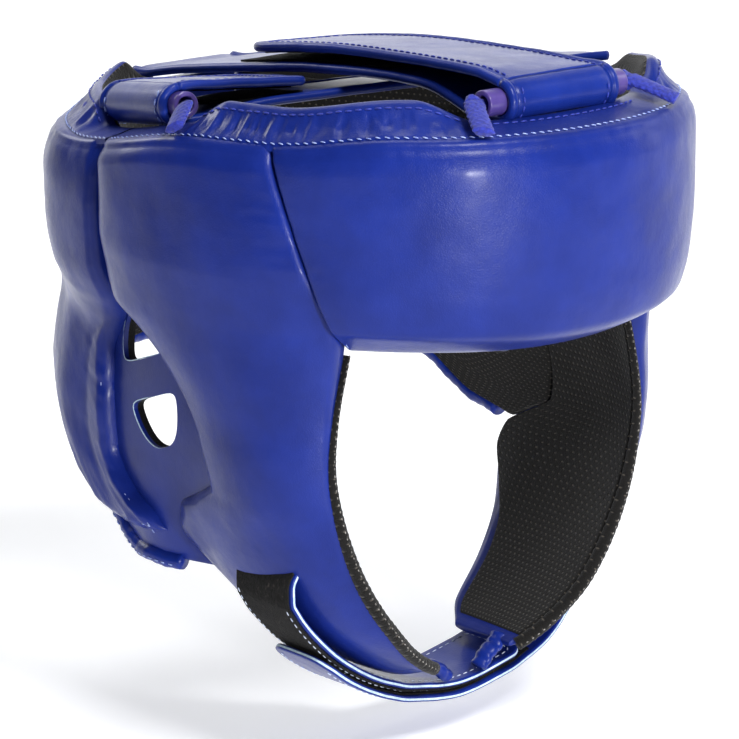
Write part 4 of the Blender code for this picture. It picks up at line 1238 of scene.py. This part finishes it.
def turned_sleeve(name, centre, heading, node):
    """Stiff tube with rounded rims."""
    profile = []
    for sign, radius in ((-1, TUBE_BORE), (-1, TUBE_RADIUS), (1, TUBE_RADIUS), (1, TUBE_BORE)):
        outer = radius == TUBE_RADIUS
        for t in np.linspace(0.0, pi / 2, 5):
            turn = t if (sign < 0) == (not outer) else pi / 2 - t
            away = 0.5 * (1.0 - sin(turn))
            back = 0.5 * (1.0 - cos(turn))
            profile.append((sign * (TUBE_LENGTH / 2 - away), radius - back if outer else radius + back))
    sides = 40
    heading = Vector(heading).normalized()
    turned = Vector((0.0, 0.0, 1.0)).rotation_difference(heading)
    vertices = []
    for run, radius in profile:
        for k in range(sides):
            spot = Vector((radius * cos(2 * pi * k / sides), radius * sin(2 * pi * k / sides), run))
            spot.rotate(turned)
            vertices.append(tuple(Vector(centre) + spot))
    faces = grid_faces(len(profile), sides, wrap_columns=True, wrap_rows=True)
    made = orient(new_object(name, np.array(vertices), faces, [PLASTIC]))
    made.data.set_sharp_from_angle(angle=radians(50.0))
    finish_piece(made, "shell", (node,))


def lace_wave(length):
    """Flat braid that narrows where it runs through the sleeve."""
    def wave(s, turn):
        free = length / 2 - TUBE_LENGTH / 2
        ends = np.maximum(smooth_step((free + 1.0 - s) / 4.0), smooth_step((s - length + free + 1.0) / 4.0))
        plaits = np.abs(np.sin(3.0 * turn + s * 1.1)) + np.abs(np.sin(3.0 * turn - s * 1.1))
        return (0.5 + 0.5 * ends) * (0.92 + 0.10 * plaits)
    return wave


def lace(name, route, node):
    steps = np.linalg.norm(np.diff(route, axis=0), axis=1)
    hint = np.array(route) - np.array((0.0, 0.0, route[0][2] - 60.0))
    made = tube(name, route, (1.6, 3.6), BRAID, hint, 28, 0.45, lace_wave(steps.sum()))
    finish_piece(made, "shell", (node,))


def make_tubes_and_cords():
    front = Vector((0.0, *FRONT_TUBE))
    turned_sleeve("front_sleeve", front, (1.0, 0.0, 0.0), "front_tube")
    half = TUBE_LENGTH / 2
    anchor = Vector((45.0, -110.0, BROW_TOP + 2.6))
    bend = front + Vector((half + 5.0, -2.0, 0.0))
    right = [Vector((-spot.x, spot.y, spot.z)) for spot in (anchor, bend)]
    route = catmull([right[0], right[1], front - Vector((half, 0, 0)), front, front + Vector((half, 0, 0)),
                     bend, anchor], 10)
    lace("front_lace", route, "front_cord")

    across = Vector(CROSS_ACROSS)
    turned_sleeve("side_sleeve", SIDE_TUBE, across, "side_tube")
    ahead, behind = SIDE_TUBE - half * across, SIDE_TUBE + half * across
    front_anchor = Vector((-101.0, -18.0, BROW_TOP - SIDE_FALL + 2.4))
    rear_anchor = Vector((-74.0, 68.0, BROW_TOP - REAR_FALL + 1.0))
    route = catmull([front_anchor, ahead + Vector((-5.0, -5.0, 0.6)), ahead, SIDE_TUBE, behind,
                     behind + Vector((-0.5, 5.0, -0.8)), rear_anchor], 10)
    lace("side_lace", route, "side_cord")


def chin_place(run, rise, across):
    run, rise, across = np.broadcast_arrays(run, rise, across)
    return np.stack([run, CHIN_MIDDLE_Y + across, rise], -1)


def jaw_outline():
    drops = -95.0 - 9.7 * np.arange(8)
    right = by_y(np.full(8, -31.0), drops, along(SIDE_MIDDLE, drops) + 1.2, -1.0)[:, [0, 2]]
    left = right[::-1] * np.array((-1.0, 1.0))
    middle = np.array([[0.0, right[-1, 1] - 3.4]])
    return side_curve(np.concatenate([right, middle, left]).tolist(), 10)


def make_chin():
    outline = jaw_outline()
    count = len(outline) - 1
    half = 15.0

    def part_of(start, end):
        return outline[round(start * count):round(end * count) + 1]

    start = outline[0]
    into = np.array([[start[0] + 4.5, start[1] + 10.0], [start[0] + 1.2, start[1] + 5.0]])
    inner = Ribbon(np.concatenate([into, part_of(0.01, 0.62)]), half, chin_place, 5.0)
    chin_band("right", inner, 51.0, (3.2, 0.05, 8.0), 0.22)
    mat = Ribbon(np.concatenate([into, part_of(0.01, 0.605)]), half - 1.0, chin_place, 4.0)
    tape_patch("right_chin_loop_mat", mat, "right_chin_strap", "right_chin_loop_tape", 52.0, -2.75, 1.0, 0.25)
    stitches("right_chin_mat_stitches", border_line(mat, 1.6, -3.3, 12.5), "right_chin_strap", WHITE_THREAD,
             3.2, 2.0, 0.22)

    over = -STRAP_THICK + 0.4 - 3 * GAP - 2 * TAPE_THICK + 0.1
    path = part_of(0.15, 1.0)
    fractions = np.linspace(0.15, 1.0, len(path))
    tangents = np.gradient(path, axis=0)
    tangents /= np.linalg.norm(tangents, axis=1, keepdims=True)
    left = np.stack([-tangents[:, 1], tangents[:, 0]], 1)
    path = path + (over * smooth_step((0.84 - fractions) / 0.16))[:, None] * left
    outer = Ribbon(path, half, chin_place, 0.0, 9.0)
    chin_band("left", outer, 53.0, (3.2, -2.3, 6.0), 0.24)
    mat = Ribbon(path[int(0.03 * count):int(0.5 * count)], half - 2.0, chin_place)
    tape_patch("left_chin_hook_mat", mat, "left_chin_strap", "left_chin_hook_tape", 54.0, 0.35, 0.7, 0.15)

    def folds(s, turn):
        return 1.0 + 0.07 * np.sin(s * 1.7 + 2.0 * np.cos(turn)) + 0.05 * np.sin(3.0 * turn)

    strap_top = outline[count // 2][1]
    for word, side in SIDES.items():
        tip = by_y(np.array(-52.0), np.array(TIP_DROP), np.array(3.0), side)
        path = [(tip[0] + side * 2.0, -50.0, tip[2] + 2.0), (tip[0] - side * 2.0, -51.0, tip[2] - 0.6),
                (tip[0] - side * 6.0, -52.0, tip[2] - 2.0), (tip[0] - side * 10.5, -52.5, strap_top + 3.2)]
        made = tube(f"{word}_tip_tab", catmull(path, 8), (2.4, 3.4), BINDING, (0.0, 0.0, 1.0), 22, 0.6, folds)
        finish_piece(made, "shell", (f"{word}_chin_tab",))


def make_rear_strap():
    angles = np.linspace(147.0, 202.0, 40)
    depth = 25.4 + 2.4 * smooth_step(np.abs(180.0 - angles) / 26.0)
    path = round_the_back(angles, np.full(40, -10.0), depth)[:, :2]

    def place(run, rise, across):
        run, rise, across = np.broadcast_arrays(run, rise, across)
        return np.stack([run, rise, across - 8.0], -1)

    ribbon = Ribbon(path, 26.0, place, 7.0)
    sewn_band("rear_band", ribbon, "rear_strap", ("rear_strap",), 2.4, 0.3, 61.0, (5.4, -2.55, 2.0), THREAD,
              bead=1.6, lift=-1.3)
    patch = Ribbon(path[24:], 22.0, place)
    tape_patch("rear_hook_mat", patch, "rear_strap", "rear_hook_tape", 62.0, 0.7)
    place_pad = rear_place(-1.0, NAPES["right"])

    def on_pad(u, v, lift):
        a, b = 0.60 + 0.30 * u, 0.14 + 0.36 * v
        return place_pad(a, b, rear_thickness(-1.0)(a, b) + lift)

    made = slab("rear_loop_mat", on_pad, (31.0, 46.0), (-0.4, 1.2), (24, 28), TAPE, 1.0)
    finish_piece(made, "shell", ("rear_loop_tape",))


# ---------------------------------------------------------------- stitched seams on the pads


def place_line(place, thickness, us, vs, lift=0.0, share=1.0):
    us, vs = np.broadcast_arrays(us, vs)
    depth = FOOT + (thickness(us, vs) - FOOT) * share + lift
    points = place(us, vs, depth)
    return points, place(us, vs, depth + 1.0) - points


def make_seams():
    v = np.linspace(0.03, 0.985, 80)
    for word, u, finish in (("right", 0.009, THREAD), ("left", 0.991, DARK_THREAD)):
        line = place_line(forehead_place, forehead_thickness, np.full(v.shape, u), v, 0.0, 0.80)
        stitches(f"{word}_brow_seam_stitches", [line], "shell", finish, 2.6, 1.9, 0.2)
    for word in ("right", "left"):
        side = SIDES[word]
        place = rear_place(side, NAPES[word])
        v = np.linspace(0.01, 0.62, 70)
        front = place_line(place, rear_thickness(side), np.full(v.shape, 0.026), v, 0.15, 0.80)
        u = np.linspace(0.03, 0.96, 60)
        low = place_line(place, rear_thickness(side), u, np.full(u.shape, 0.022), 0.15, 0.80)
        stitches(f"{word}_rear_pad_stitches", [front, low], "shell", THREAD, 3.0, 1.8, 0.24)


for side_word in ("right", "left"):
    for part, start, end in RIM_PARTS:
        make_rim(side_word, part, start, end, (f"{part}_{side_word}_collar",))
make_yoke()
make_crown()
make_cross()
make_tubes_and_cords()
make_chin()
make_rear_strap()
make_seams()

# ---------------------------------------------------------------- stage and lights


def make_stage():
    floor_height = -168.0
    half, back, radius, tall = 2600.0, 1500.0, 500.0, 2600.0
    profile = [(-back, floor_height)]
    profile += [(back - radius + radius * sin(t), floor_height + radius - radius * cos(t))
                for t in np.linspace(0.0, pi / 2, 16)]
    profile += [(back, floor_height + tall)]
    forward = -direction(CAMERA_AZIMUTH, 0.0)
    right = Vector((-forward.y, forward.x, 0.0))
    vertices = []
    for run, rise in profile:
        for across in (-half, half):
            spot = forward * run + right * across
            vertices.append((spot.x, spot.y, rise))
    finish = stage_material("pale_stage", (0.86, 0.865, 0.875))
    made = new_object("stage_sweep", np.array(vertices), grid_faces(len(profile), 2), [finish])


def make_world():
    world = bpy.data.worlds.new("studio")
    bpy.context.scene.world = world
    world.use_nodes = True
    background = world.node_tree.nodes["Background"]
    background.inputs["Color"].default_value = (0.90, 0.93, 1.0, 1.0)
    background.inputs["Strength"].default_value = 0.06


bpy.context.scene.view_settings.view_transform = "Standard"
make_stage()
make_world()
area_light("front_softbox", -8.0, 50.0, 1.5, (0.42, 0.42), 18.0)
area_light("front_glint", -15.0, 3.0, 1.5, (0.10, 0.085), 13.0)
area_light("rear_softbox", -172.0, 30.0, 1.5, (0.5, 0.5), 4.5)
area_light("right_strip", 66.0, 20.0, 1.5, (0.35, 1.1), 3.5)
area_light("top_softbox", 150.0, 70.0, 1.6, (0.7, 0.7), 6.0)

FINISHES = {"cover_leather": SKIN, "strap_leather": STRAP_SKIN, "binding_leather": BINDING,
            "mesh_lining": MESH, "foam_core": FOAM, "hook_and_loop": TAPE, "tube_plastic": PLASTIC,
            "cord_braid": BRAID}
KINDS = {subpart["node"]: subpart["material_slot"] for subpart in frame["record"]["subparts"]}
for node_name, node in frame["nodes"].items():
    for slot in node.material_slots:
        slot.material = FINISHES[KINDS[node_name]]
